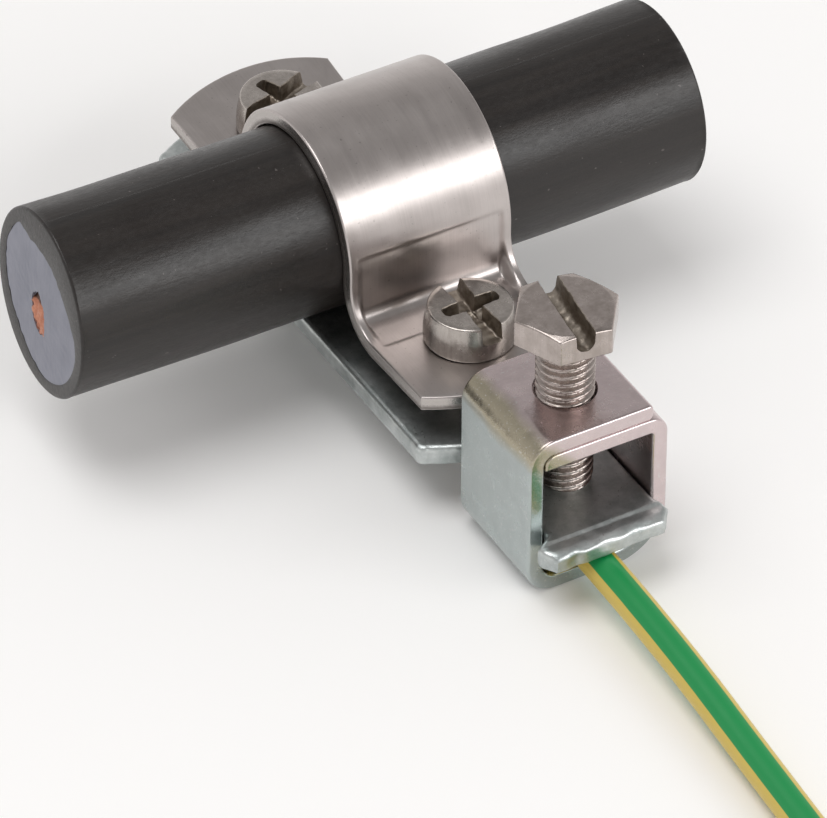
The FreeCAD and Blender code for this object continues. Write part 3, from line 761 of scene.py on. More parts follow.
@dataclass(frozen=True)
class StripedCover(Finish):
    """The earth wire's PVC cover: glossy green with a yellow stripe on each side."""

    green: str = "#0f8c49"
    yellow: str = "#ccb24f"
    stripe_start: float = 0.663
    turn: float = 15.5
    noises: ClassVar[dict[str, Noise]] = {"wobble": Noise(5.0, detail=2.0, rough=0.5)}
    bumps: ClassVar[tuple] = (("wobble", 0.15, 0.2),)

    def paint(self, tree: bpy.types.NodeTree, noise: dict, note: Socket, place: Socket) -> dict:
        """The note is (cosine, sine of the angle round the wire, length)."""
        turn = math.radians(self.turn)
        axis = (math.cos(turn) / MM, -math.sin(turn) / MM, 0.0)
        sideways = add(tree, "VectorMath", {"operation": "DOT_PRODUCT"}, "Value", n0=note, n1=axis)
        away = add(tree, "Math", {"operation": "ABSOLUTE"}, n0=sideways)
        edge = add(tree, "Math", MULTIPLY_ADD, n0=noise["wobble"], n1=0.03, n2=away)
        stripe = add(tree, "MapRange", Value=edge, From_Min=self.stripe_start, From_Max=self.stripe_start + 0.03)
        colour = add(tree, "Mix", MIX, 2, Factor=stripe, n6=self.green, n7=self.yellow)
        return {"IOR": 1.52, "Base_Color": colour, "Roughness": 0.36}


@dataclass(frozen=True)
class PaleFloor(Finish):
    """A matt, nearly white studio floor."""

    colour: str = "#fdfcfb"

    def paint(self, tree: bpy.types.NodeTree, noise: dict, note: Socket, place: Socket) -> dict:
        """One even tone."""
        return {"Base_Color": self.colour, "Roughness": 0.9}


def dress(piece: bpy.types.Object, *finishes: Finish) -> None:
    """Gives a piece its materials, one for each finish."""
    piece.data.materials.clear()
    for finish in finishes:
        known = bpy.data.materials.get(finish.name)
        piece.data.materials.append(known or finish.material())


def seat(piece: bpy.types.Object, body: str, slot: str, *nodes: str) -> bpy.types.Object:
    """Lets a piece ride on its body in place of its nodes, and logs it.

    Args:
        piece: the finished piece.
        body: the body that it moves with.
        slot: the record's material slot; not used.
        *nodes: the nodes that it replaces.

    Returns:
        The piece.
    """
    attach(piece, body)
    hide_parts(*nodes)
    LOG.info("%s rides on %s, %d faces", piece.name, body, len(piece.data.polygons))
    return piece


# The camera, the lights and the floor.


@dataclass(frozen=True)
class Studio:
    """The camera at the photograph's angle, a pale floor and soft light."""

    azimuth: float = 29.902
    elevation: float = 39.560
    roll: float = -0.2705
    distance: float = 1100.0
    pixels_per_mm: float = 7.3627
    aim_right: float = -5.272
    aim_up: float = 29.661
    sensor: float = 36.0

    def axes(self) -> tuple[Array, Array, Array]:
        """The camera's right, up and forward directions."""
        turn, tilt, roll = np.radians((self.azimuth, self.elevation, self.roll))
        right = np.array((math.cos(turn), -math.sin(turn), 0.0))
        up = np.array((math.sin(tilt) * math.sin(turn), math.sin(tilt) * math.cos(turn), math.cos(tilt)))
        ahead = np.cross(up, right)
        return math.cos(roll) * right - math.sin(roll) * up, math.sin(roll) * right + math.cos(roll) * up, ahead

    def camera(self) -> None:
        """Places the camera so that the photograph's frame shows what the photograph shows."""
        right, up, ahead = self.axes()
        middle = -self.aim_right * right - self.aim_up * up
        data = bpy.data.cameras.new("camera")
        data.sensor_width = self.sensor
        data.lens = self.pixels_per_mm * self.distance * self.sensor / PHOTO_WIDTH
        data.clip_start = 0.05
        data.clip_end = 20.0
        camera = bpy.data.objects.new("camera", data)
        bpy.context.scene.collection.objects.link(camera)
        facing = Matrix(np.stack([right, up, -ahead], 1).tolist()).to_4x4()
        camera.matrix_world = Matrix.Translation(Vector(DATUM.world(middle - self.distance * ahead))) @ facing
        bpy.context.scene.camera = camera

    def floor(self) -> None:
        """A large pale sheet under the object."""
        mesh = bpy.data.meshes.new("floor")
        reach = 4.0
        corners = [(-reach, -reach, 0), (reach, -reach, 0), (reach, reach, 0), (-reach, reach, 0)]
        mesh.from_pydata(corners, [], [(0, 1, 2, 3)])
        floor = bpy.data.objects.new("floor", mesh)
        bpy.context.scene.collection.objects.link(floor)
        dress(floor, PaleFloor("pale_floor"))

    def room(self) -> None:
        """A grey room, brightest near its floor, as a backdrop that rises round the table."""
        world = bpy.data.worlds.new("grey_room")
        world.use_nodes = True
        tree = world.node_tree
        tree.nodes.clear()
        height = add(tree, "SeparateXYZ", None, "Z", n0=add(tree, "TexCoord", None, "Object"))
        tone = add(tree, "MapRange", Value=height, From_Min=-0.05, From_Max=0.9, To_Min=1.0, To_Max=0.3)
        add(tree, "OutputWorld", Surface=add(tree, "Background", Color="#fbf9f8", Strength=tone))
        bpy.context.scene.world = world

    def light(self, name: str, direction: tuple, reach: float, size: tuple, power: float) -> None:
        """Hangs one soft light that faces the object.

        Args:
            name: the light's name.
            direction: from the object towards the light.
            reach: how far away it hangs, in metres.
            size: its width and height, in metres.
            power: its power in watts.
        """
        data = bpy.data.lights.new(name, "AREA")
        data.shape = "RECTANGLE"
        data.size, data.size_y = size
        data.energy = power
        light = bpy.data.objects.new(name, data)
        bpy.context.scene.collection.objects.link(light)
        away = Vector(direction).normalized()
        light.location = away * reach
        light.rotation_euler = away.to_track_quat("Z", "Y").to_euler()

    def build(self) -> None:
        """Sets up the camera, the floor, the room and the two lights."""
        self.camera()
        self.floor()
        self.room()
        self.light("overhead", (-0.25, 0.1, 1.0), 2.4, (1.6, 1.6), 25.0)
        self.light("front", (0.42, -0.9, 0.58), 1.6, (1.5, 0.62), 10.0)
        bpy.context.scene.view_settings.view_transform = "Standard"
        LOG.info("camera, floor and lights are in place")


# The cable.


@dataclass
class Cable:
    """The sample of round cable in the clamp: black sheath, grey insulation, copper core.

    The smear gives the sheath's torn inner radius by the angle from the top towards the front. The
    copper lies sunk below the face by an even part, an uneven one and a deep one at its hollow."""

    radius: float = 13.25
    sheath_wall: float = 2.0
    left: float = 51.3
    right: float = 44.85
    strap_half: float = 12.5
    left_bend: float = 4.4e-4
    right_bend: float = 4.1e-4
    cut_lean: tuple[float, float] = (0.05, 0.06)
    cut_fade: float = 8.0
    end_radius: float = 0.45
    play: float = 0.02
    bore_depth: float = 1.5
    dish: tuple[float, float] = (0.05, 0.04)
    smear_depths: tuple[float, float] = (0.9, 0.3)
    sunk: tuple[float, float, float] = (0.22, 0.1, 0.5)
    face_depth: float = 0.85
    core_middle: tuple[float, float] = (0.6, -2.1)
    rod_middle: tuple[float, float] = (1.2, -2.0)
    rod_radius: float = 2.6
    rod_inset: float = 3.0
    patch: tuple[float, float] = (1.9, 3.1)
    patch_turn: float = 16.0
    around: int = 256
    smear: tuple[tuple[float, float], ...] = (
        (-175, 10.6), (-155, 10.2), (-137, 9.9), (-120, 10.2), (-103, 10.6), (-84, 11.0), (-60, 11.1), (-40, 11.3),
        (-34, 10.3), (-24, 8.9), (-2, 8.5), (16, 8.3), (37, 8.2), (60, 8.7), (75, 9.7), (85, 10.8), (100, 11.4),
        (120, 11.4), (160, 11.4), (175, 11.0),
    )

    def carry(self, x: Array, y: Array, height: Array) -> Array:
        """Puts places of the straight cable on the bent one.

        Formula: beyond the strap the axis rises by the bend times the distance squared, and the
        section stands square to it, so a point h above the axis moves back along x by h times the
        sine of the slope. At the left end the saw's lean takes over, as 0.05 y + 0.06 h; the right end
        is cut upright."""
        left = np.clip(-self.strap_half - x, 0, None)
        right = np.clip(x - self.strap_half, 0, None)
        rise = self.left_bend * left**2 + self.right_bend * right**2
        tilt = np.arctan(2 * self.right_bend * right - 2 * self.left_bend * left)
        cut = step(-x, self.left - self.cut_fade, self.left - 1.0)
        upright = step(x, self.right - self.cut_fade, self.right - 1.0)
        lean = cut * (self.cut_lean[0] * y + self.cut_lean[1] * height) - (1 - cut - upright) * height * np.sin(tilt)
        return np.stack([np.clip(x + lean, -self.left - 1.03, None), y + 0 * x, rise + height * np.cos(tilt)], -1)

    def ragged(self, angle: Array, size: float, seed: int) -> Array:
        """An uneven cut edge: smooth random waves round the circle."""
        ring = np.stack([np.cos(angle), np.sin(angle)], -1)
        return size * (0.7 * waves(ring, 0.9, seed) + 0.5 * waves(ring, 0.25, seed + 1))

    def lip(self, angle: Array, seed: int) -> Array:
        """The sheath's inner edge on the sawn face, smeared inwards by the saw.

        Formula: a line through the measured radii by their angles from the top towards the front,
        closed round the circle, with ragged waves and never wider than the bore."""
        places, radii = np.array(self.smear).T
        edge = np.interp(np.degrees(angle), places, radii, period=360.0)
        return np.minimum(edge + self.ragged(angle, 0.1, seed), self.radius - self.sheath_wall - self.play)

    def sheath(self) -> bpy.types.Object:
        """The sheath: a closed section carried along the cable, with sawn, uneven inner edges."""
        angle = turns(self.around)
        bore = self.radius - self.sheath_wall
        inset, drop = rounding(self.end_radius, 5)
        even = 0 * angle
        ends = []
        for sign, end, seed in ((1, -self.left, 11), (-1, self.right, 21)):
            lip = self.lip(angle, seed)
            outer = self.radius - self.end_radius
            face = [(self.bore_depth, bore + even), (0.35, lip), (0.02, lip), (0, lip + 0.1), (0, (lip + outer) / 2)]
            face += zip(drop, self.radius - inset[:, None] + even)
            ends.append([(end + sign * depth, ring) for depth, ring in face])
        span = np.linspace(self.end_radius - self.left, self.right - self.end_radius, 120)[1:-1]
        section = ends[0] + [(x, self.radius + even) for x in span] + ends[1][::-1]
        x = np.array([row[0] + even for row in section])
        radius = np.array([row[1] for row in section])
        turn = np.broadcast_to(angle, radius.shape)
        wander = 0.03 * waves(np.stack([np.cos(turn), np.sin(turn), x / 40], -1), 0.5, 31)
        radius = radius + np.where(radius > self.radius - 0.01, wander - 0.05, 0)
        shell = Shell()
        note = np.stack([x, turn * self.radius, radius], -1)
        shell.grid(self.carry(x, -radius * np.sin(turn), radius * np.cos(turn)), note, closed=True)
        closing = np.stack([self.bore_depth - self.left + even, self.right - self.bore_depth + even])
        shell.grid(self.carry(closing, -bore * np.sin(turn[:2]), bore * np.cos(turn[:2])), closed=True)
        piece = shell.build("cable_sheath")
        dress(piece, ExtrudedSheath("black_polyethylene_sheath"))
        return seat(piece, "base", "black_sheath", "conductor_sheath")

    def oval(self, angle: Array, grow: float, seed: int) -> Array:
        """The visible copper's outline: a ragged oval, taller than wide, turned a little."""
        turned = angle + math.radians(self.patch_turn)
        wide, tall = self.patch[0] + grow, self.patch[1] + grow
        reach = 1 / np.hypot(np.sin(turned) / wide, np.cos(turned) / tall)
        reach = np.clip(reach + self.ragged(angle, 0.08, seed), 1.0, None)
        across, up = self.core_middle
        return np.stack([across - reach * np.sin(angle), up + reach * np.cos(angle)], -1)

    def insulation(self) -> bpy.types.Object:
        """The insulation: a rod whose sawn ends are smeared in over the copper's sides.

        Formula: each end face is ruled from the copper's oval to the bore's circle, a little
        dished by random waves."""
        angle = turns(self.around)
        outer = (self.radius - self.sheath_wall - self.play) * np.stack([-np.sin(angle), np.cos(angle)], -1)
        share = np.linspace(0, 1, 18)[:, None, None]
        ends = []
        for sign, end, seed in ((1, -self.left, 41), (-1, self.right, 51)):
            oval = self.oval(angle, 0.0, seed)
            face = oval + (outer - oval) * share
            dish = self.dish[0] + self.dish[1] * np.abs(waves(face, 3.0, seed))
            inner = np.stack([oval, self.oval(angle, 0.1, seed)])
            depth = np.array(self.smear_depths)[:, None] + 0 * angle
            plane = np.concatenate([inner, face])
            ends.append((end + sign * np.concatenate([depth, dish]), plane))
        body = np.linspace(1 - self.left, self.right - 1, 40)[:, None] + 0 * angle
        x = np.concatenate([ends[0][0], body, ends[1][0][::-1]])
        plane = np.concatenate([ends[0][1], np.broadcast_to(outer, (*body.shape, 2)), ends[1][1][::-1]])
        points = self.carry(x, plane[..., 0], plane[..., 1])
        shell = Shell()
        shell.grid(points, closed=True)
        shell.grid(points[[0, -1]], closed=True)
        piece = shell.build("cable_insulation")
        dress(piece, CutPlastic("sawn_grey_insulation"))
        return seat(piece, "base", "grey_insulation", "conductor_insulation")

    def core(self) -> bpy.types.Object:
        """The copper: a rod whose sawn faces are smeared into ovals a little below the insulation's."""
        angle = turns(96)
        share = np.linspace(0.02, 1, 16)[:, None, None]
        rod = np.array(self.rod_middle) + self.rod_radius * np.stack([-np.sin(angle), np.cos(angle)], -1)
        sections, depths = [], []
        for sign, end, seed in ((1, -self.left, 41), (-1, self.right, 51)):
            middle = np.array(self.core_middle)
            face = middle + share * (self.oval(angle, 0.25, seed) - middle)
            hollow = step((face[..., 1] - middle[1]) / self.patch[1], 0.25, 0.6)
            sections.append(np.concatenate([face, face[-1:]]))
            even, uneven, deep = self.sunk
            sunk = even + uneven * waves(face, 1.6, 61) + deep * hollow
            depths.append((end + sign * np.concatenate([sunk, self.face_depth + 0 * sunk[:1]]), hollow))
        span = np.linspace(self.rod_inset - self.left, self.right - self.rod_inset, 30)[:, None] + 0 * angle
        x = np.concatenate([depths[0][0], span, depths[1][0][::-1]])
        plane = np.concatenate([sections[0], np.broadcast_to(rod, (*span.shape, 2)), sections[1][::-1]])
        points = self.carry(x, plane[..., 0], plane[..., 1])
        blank = np.zeros((1 + len(span) + 1, len(angle)))
        hollows = np.concatenate([depths[0][1], blank, depths[1][1][::-1]])
        shell = Shell()
        shell.grid(points, np.stack([x, 0 * x, hollows], -1), closed=True)
        shell.fans(points, np.zeros((2, len(angle), 3)))
        piece = shell.build("cable_core")
        dress(piece, CutCopper("sawn_copper"))
        return seat(piece, "base", "copper", "conductor_core")

    def build(self) -> None:
        """Makes the three layers."""
        self.sheath()
        self.insulation()
        self.core()


# The strap.


class Side(enum.Enum):
    """Which way a foot of the strap points along Y."""

    FRONT = -1
    REAR = 1


@dataclass(frozen=True)
class Foot:
    """One foot of the strap: its reach to the corners, and how it is tipped up and twisted."""

    side: Side
    corner_reach: float
    tilt: float
    twist: float


@dataclass
class Ribbon:
    """A strip's two faces as grids of points, and how far each point falls short of its face."""

    upper: Array
    lower: Array
    fall: Array
    length: Array
    sheet: float

    def at(self, share: Array, rows: int | slice = slice(None), columns: int | slice = slice(None)) -> tuple:
        """Points and notes at a share of the way from the lower to the upper face."""
        lower = self.lower[rows, columns]
        points = lower + share[..., None] * (self.upper[rows, columns] - lower)
        return points, np.stack([points[..., 0], self.length[rows, columns] + 0 * share, share * self.sheet], -1)

    def close(self, shell: Shell) -> None:
        """Adds both faces, and the rims at the first row and at the first and last column."""
        shell.grid(*self.at(1 - self.fall))
        shell.grid(*self.at(self.fall))
        steps = np.linspace(0, 1, 6)[:, None]
        for rows, columns in ((0, slice(None)), (slice(None), 0), (slice(None), -1)):
            low = self.fall[rows, columns]
            shell.grid(*self.at(low + steps * (1 - 2 * low), rows, columns))


@dataclass
class Strap:
    """The folded stainless strip with a pressed pocket in each bend."""

    cable_radius: float = 13.25
    width: float = 25.0
    sheet: float = 2.2
    clearance: float = 0.1
    foot_top: float = -7.15
    bend: float = 5.5
    foot_end_radius: float = 22.0
    pocket_width: float = 22.0
    pocket_rise: float = 3.0
    pocket_reach: float = 22.4
    pocket_depth: float = 0.2
    pocket_bend: float = 2.0
    edge_radius: float = 0.28
    pocket_edge: float = 1.2
    pocket_run: float = 22.0
    run_fade: tuple[float, float] = (0.7, 0.9)
    around_bend: int = 56
    around_ring: int = 64

    def level(self, foot: Foot, reach: Array, below: float) -> Array:
        """How high a layer of a tipped foot stands at a reach.

        Formula: the foot leaves the bend at its tilt t, so a layer that lies b below the top face
        starts at the bend's centre less (bend + b) cos t and rises by tan t from there."""
        tilt = math.radians(foot.tilt)
        inside, outside = self.sides()
        turn = self.bend + below
        start = self.foot_top + self.bend - turn * math.cos(tilt)
        return start + (reach - outside - self.bend - turn * math.sin(tilt)) * math.tan(tilt)

    def sides(self) -> tuple[float, float]:
        """The radii of the strap's inner and outer face over the cable."""
        inside = self.cable_radius + self.clearance
        return inside, inside + self.sheet

    def section(self, foot: Foot, pocket: bool, top: bool) -> Array:
        """One bend's section, from the foot at the pocket's reach up to the pocket's top line.

        Args:
            foot: the foot that it leads to.
            pocket: the pressed middle, or the plain bend beside it.
            top: the outer face, or the inner one.

        Returns:
            Points (reach, height) at even steps along the section.
        """
        inside, outside = self.sides()
        depth = self.pocket_depth if pocket else 0.0
        radius = self.pocket_bend if pocket else self.bend
        wide = radius + self.sheet - depth
        heel = outside - depth + radius
        shin = self.level(foot, heel, self.sheet) + wide / math.cos(math.radians(foot.tilt))
        below, turn, wall = (depth, radius, outside - depth) if top else (self.sheet, wide, inside)
        start = np.array([(self.pocket_reach, self.level(foot, self.pocket_reach, below))])
        corner = arc((heel, shin), turn, foot.tilt - 90, -180, 40)
        ring = arc((0, 0), wall, 0, math.degrees(math.asin(self.pocket_rise / wall)), 20)
        return resample(np.concatenate([start, corner, ring]), self.around_bend)

    def columns(self) -> tuple[Array, Array]:
        """Each column's place across the strip, and its fall below the face as a share of the sheet."""
        inset, drop = rounding(self.edge_radius, 4)
        inner, pocket = self.width / 2 - inset[0], self.pocket_width / 2
        right = np.concatenate([
            np.linspace(0, pocket - 0.7, 17),
            np.linspace(pocket - 0.7, pocket + 0.7, 9)[1:],
            np.linspace(pocket + 0.7, inner, 4)[1:],
            self.width / 2 - inset[1:],
        ])
        fall = np.concatenate([np.zeros(len(right) - len(inset) + 1), drop[1:]]) / self.sheet
        return np.concatenate([-right[:0:-1], right]), np.concatenate([fall[:0:-1], fall])

    def half(self, foot: Foot) -> Ribbon:
        """The strip from one foot's end to the middle of the ring's top.

        Formula: the plain and the pressed section are blended by a weight that falls smoothly to
        nothing at the pocket's border. The foot's end is an arc between its two corners, and the
        foot twists by its twist times x, growing as the square of the way out.

        Args:
            foot: the foot that this half ends in.

        Returns:
            The two faces and their rims.
        """
        x, column_fall = self.columns()
        inset, drop = rounding(self.edge_radius, 4)
        chord = math.sqrt(self.foot_end_radius**2 - self.width**2 / 4)
        end = foot.corner_reach + np.sqrt(self.foot_end_radius**2 - x**2) - chord
        share = np.linspace(0, 1, 22)[:-1, None]
        rim = end - inset[::-1][:-1, None]
        reach = np.concatenate([rim, end - inset[0] - share * (end - inset[0] - self.pocket_reach)])
        out = np.clip((reach - self.pocket_reach) / (foot.corner_reach - self.pocket_reach), 0, None)
        edge = self.pocket_edge / 2
        across = 1 - step(np.abs(x), self.pocket_width / 2 - edge, self.pocket_width / 2 + edge)
        run = np.linspace(0, self.pocket_run, self.around_bend)
        near, far = self.run_fade
        weight = (step(run, 0, near) * step(self.pocket_run - run, 0, far))[:, None] * across
        faces = []
        for top in (True, False):
            plain, pressed = self.section(foot, False, top)[:, None], self.section(foot, True, top)[:, None]
            level = self.level(foot, reach, 0.0 if top else self.sheet) + foot.twist * x * out**2
            wall = self.sides()[1] if top else self.sides()[0]
            rise = math.degrees(math.asin(self.pocket_rise / wall))
            ring = arc((0, 0), wall, rise, 90, self.around_ring)[1:, None] + np.zeros((1, len(x), 1))
            flat = np.concatenate([np.stack([reach, level], -1), plain + weight[..., None] * (pressed - plain), ring])
            faces.append(np.concatenate([x[:, None] + 0 * flat[..., :1], flat * (foot.side.value, 1)], -1))
        row_fall = np.concatenate([drop[::-1][:-1], np.zeros(len(faces[0]) - len(inset) + 1)]) / self.sheet
        length = np.cumsum(np.linalg.norm(np.diff(faces[0], axis=0, prepend=faces[0][:1]), axis=-1), 0)
        fall = np.maximum(row_fall[:, None], column_fall)
        return Ribbon(faces[0], faces[1], fall, (length - length[-1]) * foot.side.value, self.sheet)

    def build(self) -> bpy.types.Object:
        """Makes the strip from its two halves, which meet on top of the ring."""
        shell = Shell()
        self.half(Foot(Side.FRONT, 34.6, 2.5, 0.0)).close(shell)
        self.half(Foot(Side.REAR, 35.3, 6.0, 0.036)).close(shell)
        piece = shell.build("strap", 50.0)
        dress(piece, RolledSteel("rolled_stainless_sheet"), ShearedEdge("sheared_stainless_edge"))
        mark_rim(piece, self.sheet, 0.12)
        return seat(piece, "strap", "stainless_strap", "clamp_strap")


def mark_rim(piece: bpy.types.Object, sheet: float, margin: float) -> None:
    """Gives the second material to the faces of a sheet's sheared rim.

    Args:
        piece: a piece whose note holds the height through the sheet.
        sheet: the sheet's thickness.
        margin: the share of the sheet near each face that keeps the face's finish.
    """
    mesh = piece.data
    note = np.zeros(len(mesh.vertices) * 3, np.float32)
    mesh.attributes["note"].data.foreach_get("vector", note)
    height = note.reshape(-1, 3)[:, 2] / (sheet * MM)
    start = np.zeros(len(mesh.polygons), np.int32)
    total = np.zeros(len(mesh.polygons), np.int32)
    corner = np.zeros(len(mesh.loops), np.int32)
    mesh.polygons.foreach_get("loop_start", start)
    mesh.polygons.foreach_get("loop_total", total)
    mesh.loops.foreach_get("vertex_index", corner)
    face_height = np.add.reduceat(height[corner], start) / total
    rim = (face_height > margin) & (face_height < 1 - margin)
    mesh.polygons.foreach_set("material_index", rim.astype(np.int32))


# The base plate.


@dataclass
class Plate:
    """The galvanised plate with rounded ends, two tapped holes and a hammered front tongue.

    At the tongue's tip the top sinks twice, the faces are dented, the sides and the front bulge
    and the underside sags, each by so many millimetres."""

    top: float = -13.25
    sheet: float = 3.0
    width: float = 28.0
    corner_reach: float = 36.5
    end_radius: float = 24.8
    corner_radius: float = 1.5
    tongue_width: float = 16.2
    tongue_start: float = 60.27
    tip_reach: float = 64.97
    left_ear: float = 2.3
    right_ear: float = 0.7
    screw_reach: float = 26.0
    bore: float = 4.06
    edge_radius: float = 0.8
    tip_rows: float = 5.0
    crease: float = 3.3
    roll: float = 0.025
    sink: tuple[float, float] = (0.22, 0.3)
    dent: float = 0.03
    bulge: tuple[float, float] = (0.07, 0.1)
    sag: float = 0.45
    corner_part: tuple[float, float] = (0.78, 0.75)
    face_step: float = 1.3
    tip_step: float = 0.28

    def end(self, half: float) -> float:
        """How far a rounded end reaches at a half width."""
        drop = math.sqrt(self.end_radius**2 - self.width**2 / 4)
        return self.corner_reach + math.sqrt(self.end_radius**2 - half**2) - drop

    def plan(self) -> Array:
        """The plate's outline from above, counter-clockwise, with the corners rounded."""
        half, tongue, corner, radius = self.width / 2, self.tongue_width / 2, self.corner_reach, self.corner_radius
        ear_back, ear_front = self.tongue_start + 1.6, self.tongue_start + 2.7
        left, right = tongue + self.left_ear, tongue + self.right_ear
        crown = self.end(0.0)
        near = half - radius * self.corner_part[0]
        along = corner - radius * self.corner_part[1]
        return trace(
            [
                (-near, -self.end(near), self.end_radius, True),
                (-tongue, -self.end(tongue)),
                (-tongue, -self.tongue_start),
                (-left, -ear_back),
                (-left, -ear_front),
                (-tongue - self.left_ear / 2, -self.tip_reach),
                (tongue - self.right_ear, -self.tip_reach),
                (right, -ear_front),
                (right, -ear_back),
                (tongue, -self.tongue_start),
                (tongue, -self.end(tongue), self.end_radius, True),
                (near, -self.end(near), radius, True),
                (half, -along),
                (half, along, radius, True),
                (near, self.end(near), self.end_radius, True),
                (0, crown, self.end_radius, True),
                (-near, self.end(near), radius, True),
                (-half, along),
                (-half, -along, radius, True),
            ],
            0.5,
            2.5,
        )

    def lift(self, flat: Array, height: Array) -> Array:
        """Puts plan points at a height through the sheet, with the tongue's hammered tip.

        Formula: the sheet rolls in slow waves; towards the tip the top sinks along a
        smooth step and both faces are dented by random waves; the sides and the front bulge."""
        x, y = flat[..., 0], flat[..., 1]
        plan = np.stack([x, y], -1)
        share = (height - (self.top - self.sheet)) / self.sheet
        to_tip = step(-y, self.tip_reach - self.tip_rows, self.tip_reach)
        z = height + self.roll * waves(plan, 9.0, 71) * np.sin(np.clip(share, 0, 1) * math.pi / 2)
        crease = step(-y, self.tip_reach - self.crease, self.tip_reach - self.crease + 0.5)
        z = z - share * self.sink[0] * crease - share * self.sink[1] * step(-y, self.tip_reach - 1.6, self.tip_reach)
        z = z + self.dent * to_tip * waves(plan, 3.2, 72)
        solid = np.stack([x, y, height], -1)
        push_x = self.bulge[0] * to_tip * waves(solid, 3.0, 73)
        push_y = self.bulge[1] * step(-y, self.tip_reach - 1.5, self.tip_reach) * waves(solid, 4.0, 74)
        lowest = self.top - self.sheet - self.sag * to_tip
        return np.stack([x + push_x, np.clip(y + push_y, -self.tip_reach, None), np.clip(z, lowest, self.top)], -1)

    def build(self) -> bpy.types.Object:
        """Makes the plate from its outline: rounded rims, filled faces and two bored holes."""
        bottom = self.top - self.sheet
        flat, height = carried(self.plan(), self.top, bottom, self.edge_radius, 7, 0.6)
        broken = np.zeros(height.shape)
        broken[:5] = np.sin(math.pi * np.arange(5) / 4)[:, None]
        shell = Shell()
        shell.grid(self.lift(flat, height), np.stack([0 * broken, 0 * broken, broken], -1), closed=True)
        holes = [(0.0, -self.screw_reach, self.bore), (0.0, self.screw_reach, self.bore)]
        loops = [circle(self.bore, (0.0, y), 64) for _, y, _ in holes]
        random = np.random.default_rng(75)
        inside = np.concatenate([
            np.stack(np.meshgrid(np.arange(*across, gap), np.arange(*along, gap)), -1).reshape(-1, 2)
            for across, along, gap in (
                ((-13, 13.5), (-60, 41), self.face_step),
                ((-10, 10), (-64.6, -60), self.tip_step),
            )
        ])
        inside = inside + random.uniform(-0.06, 0.06, inside.shape)
        for rim, level in ((flat[0], self.top), (flat[-1], bottom)):
            kept = inside[within(inside, rim, 0.2)]
            for x, y, radius in holes:
                kept = kept[np.hypot(kept[:, 0] - x, kept[:, 1] - y) > radius + 0.3]

            def place(points: Array, level: float = level) -> tuple[Array, Array]:
                """Plan points of a face on the shell, with no broken edge."""
                return self.lift(points, np.full(len(points), level)), np.zeros((len(points), 3))

            shell.cap([rim] + loops, kept, place, holes)
        for loop in loops:
            tube = np.stack([loop, loop])
            level = np.stack([np.full(len(loop), self.top), np.full(len(loop), bottom)])
            shell.grid(self.lift(tube, level), np.zeros((*tube.shape[:2], 3)), closed=True)
        piece = shell.build("plate", 42.0)
        dress(piece, Galvanised("hot_dip_galvanised_steel"))
        return seat(piece, "base", "galvanised_plate", "base_plate")


# The terminal frame.


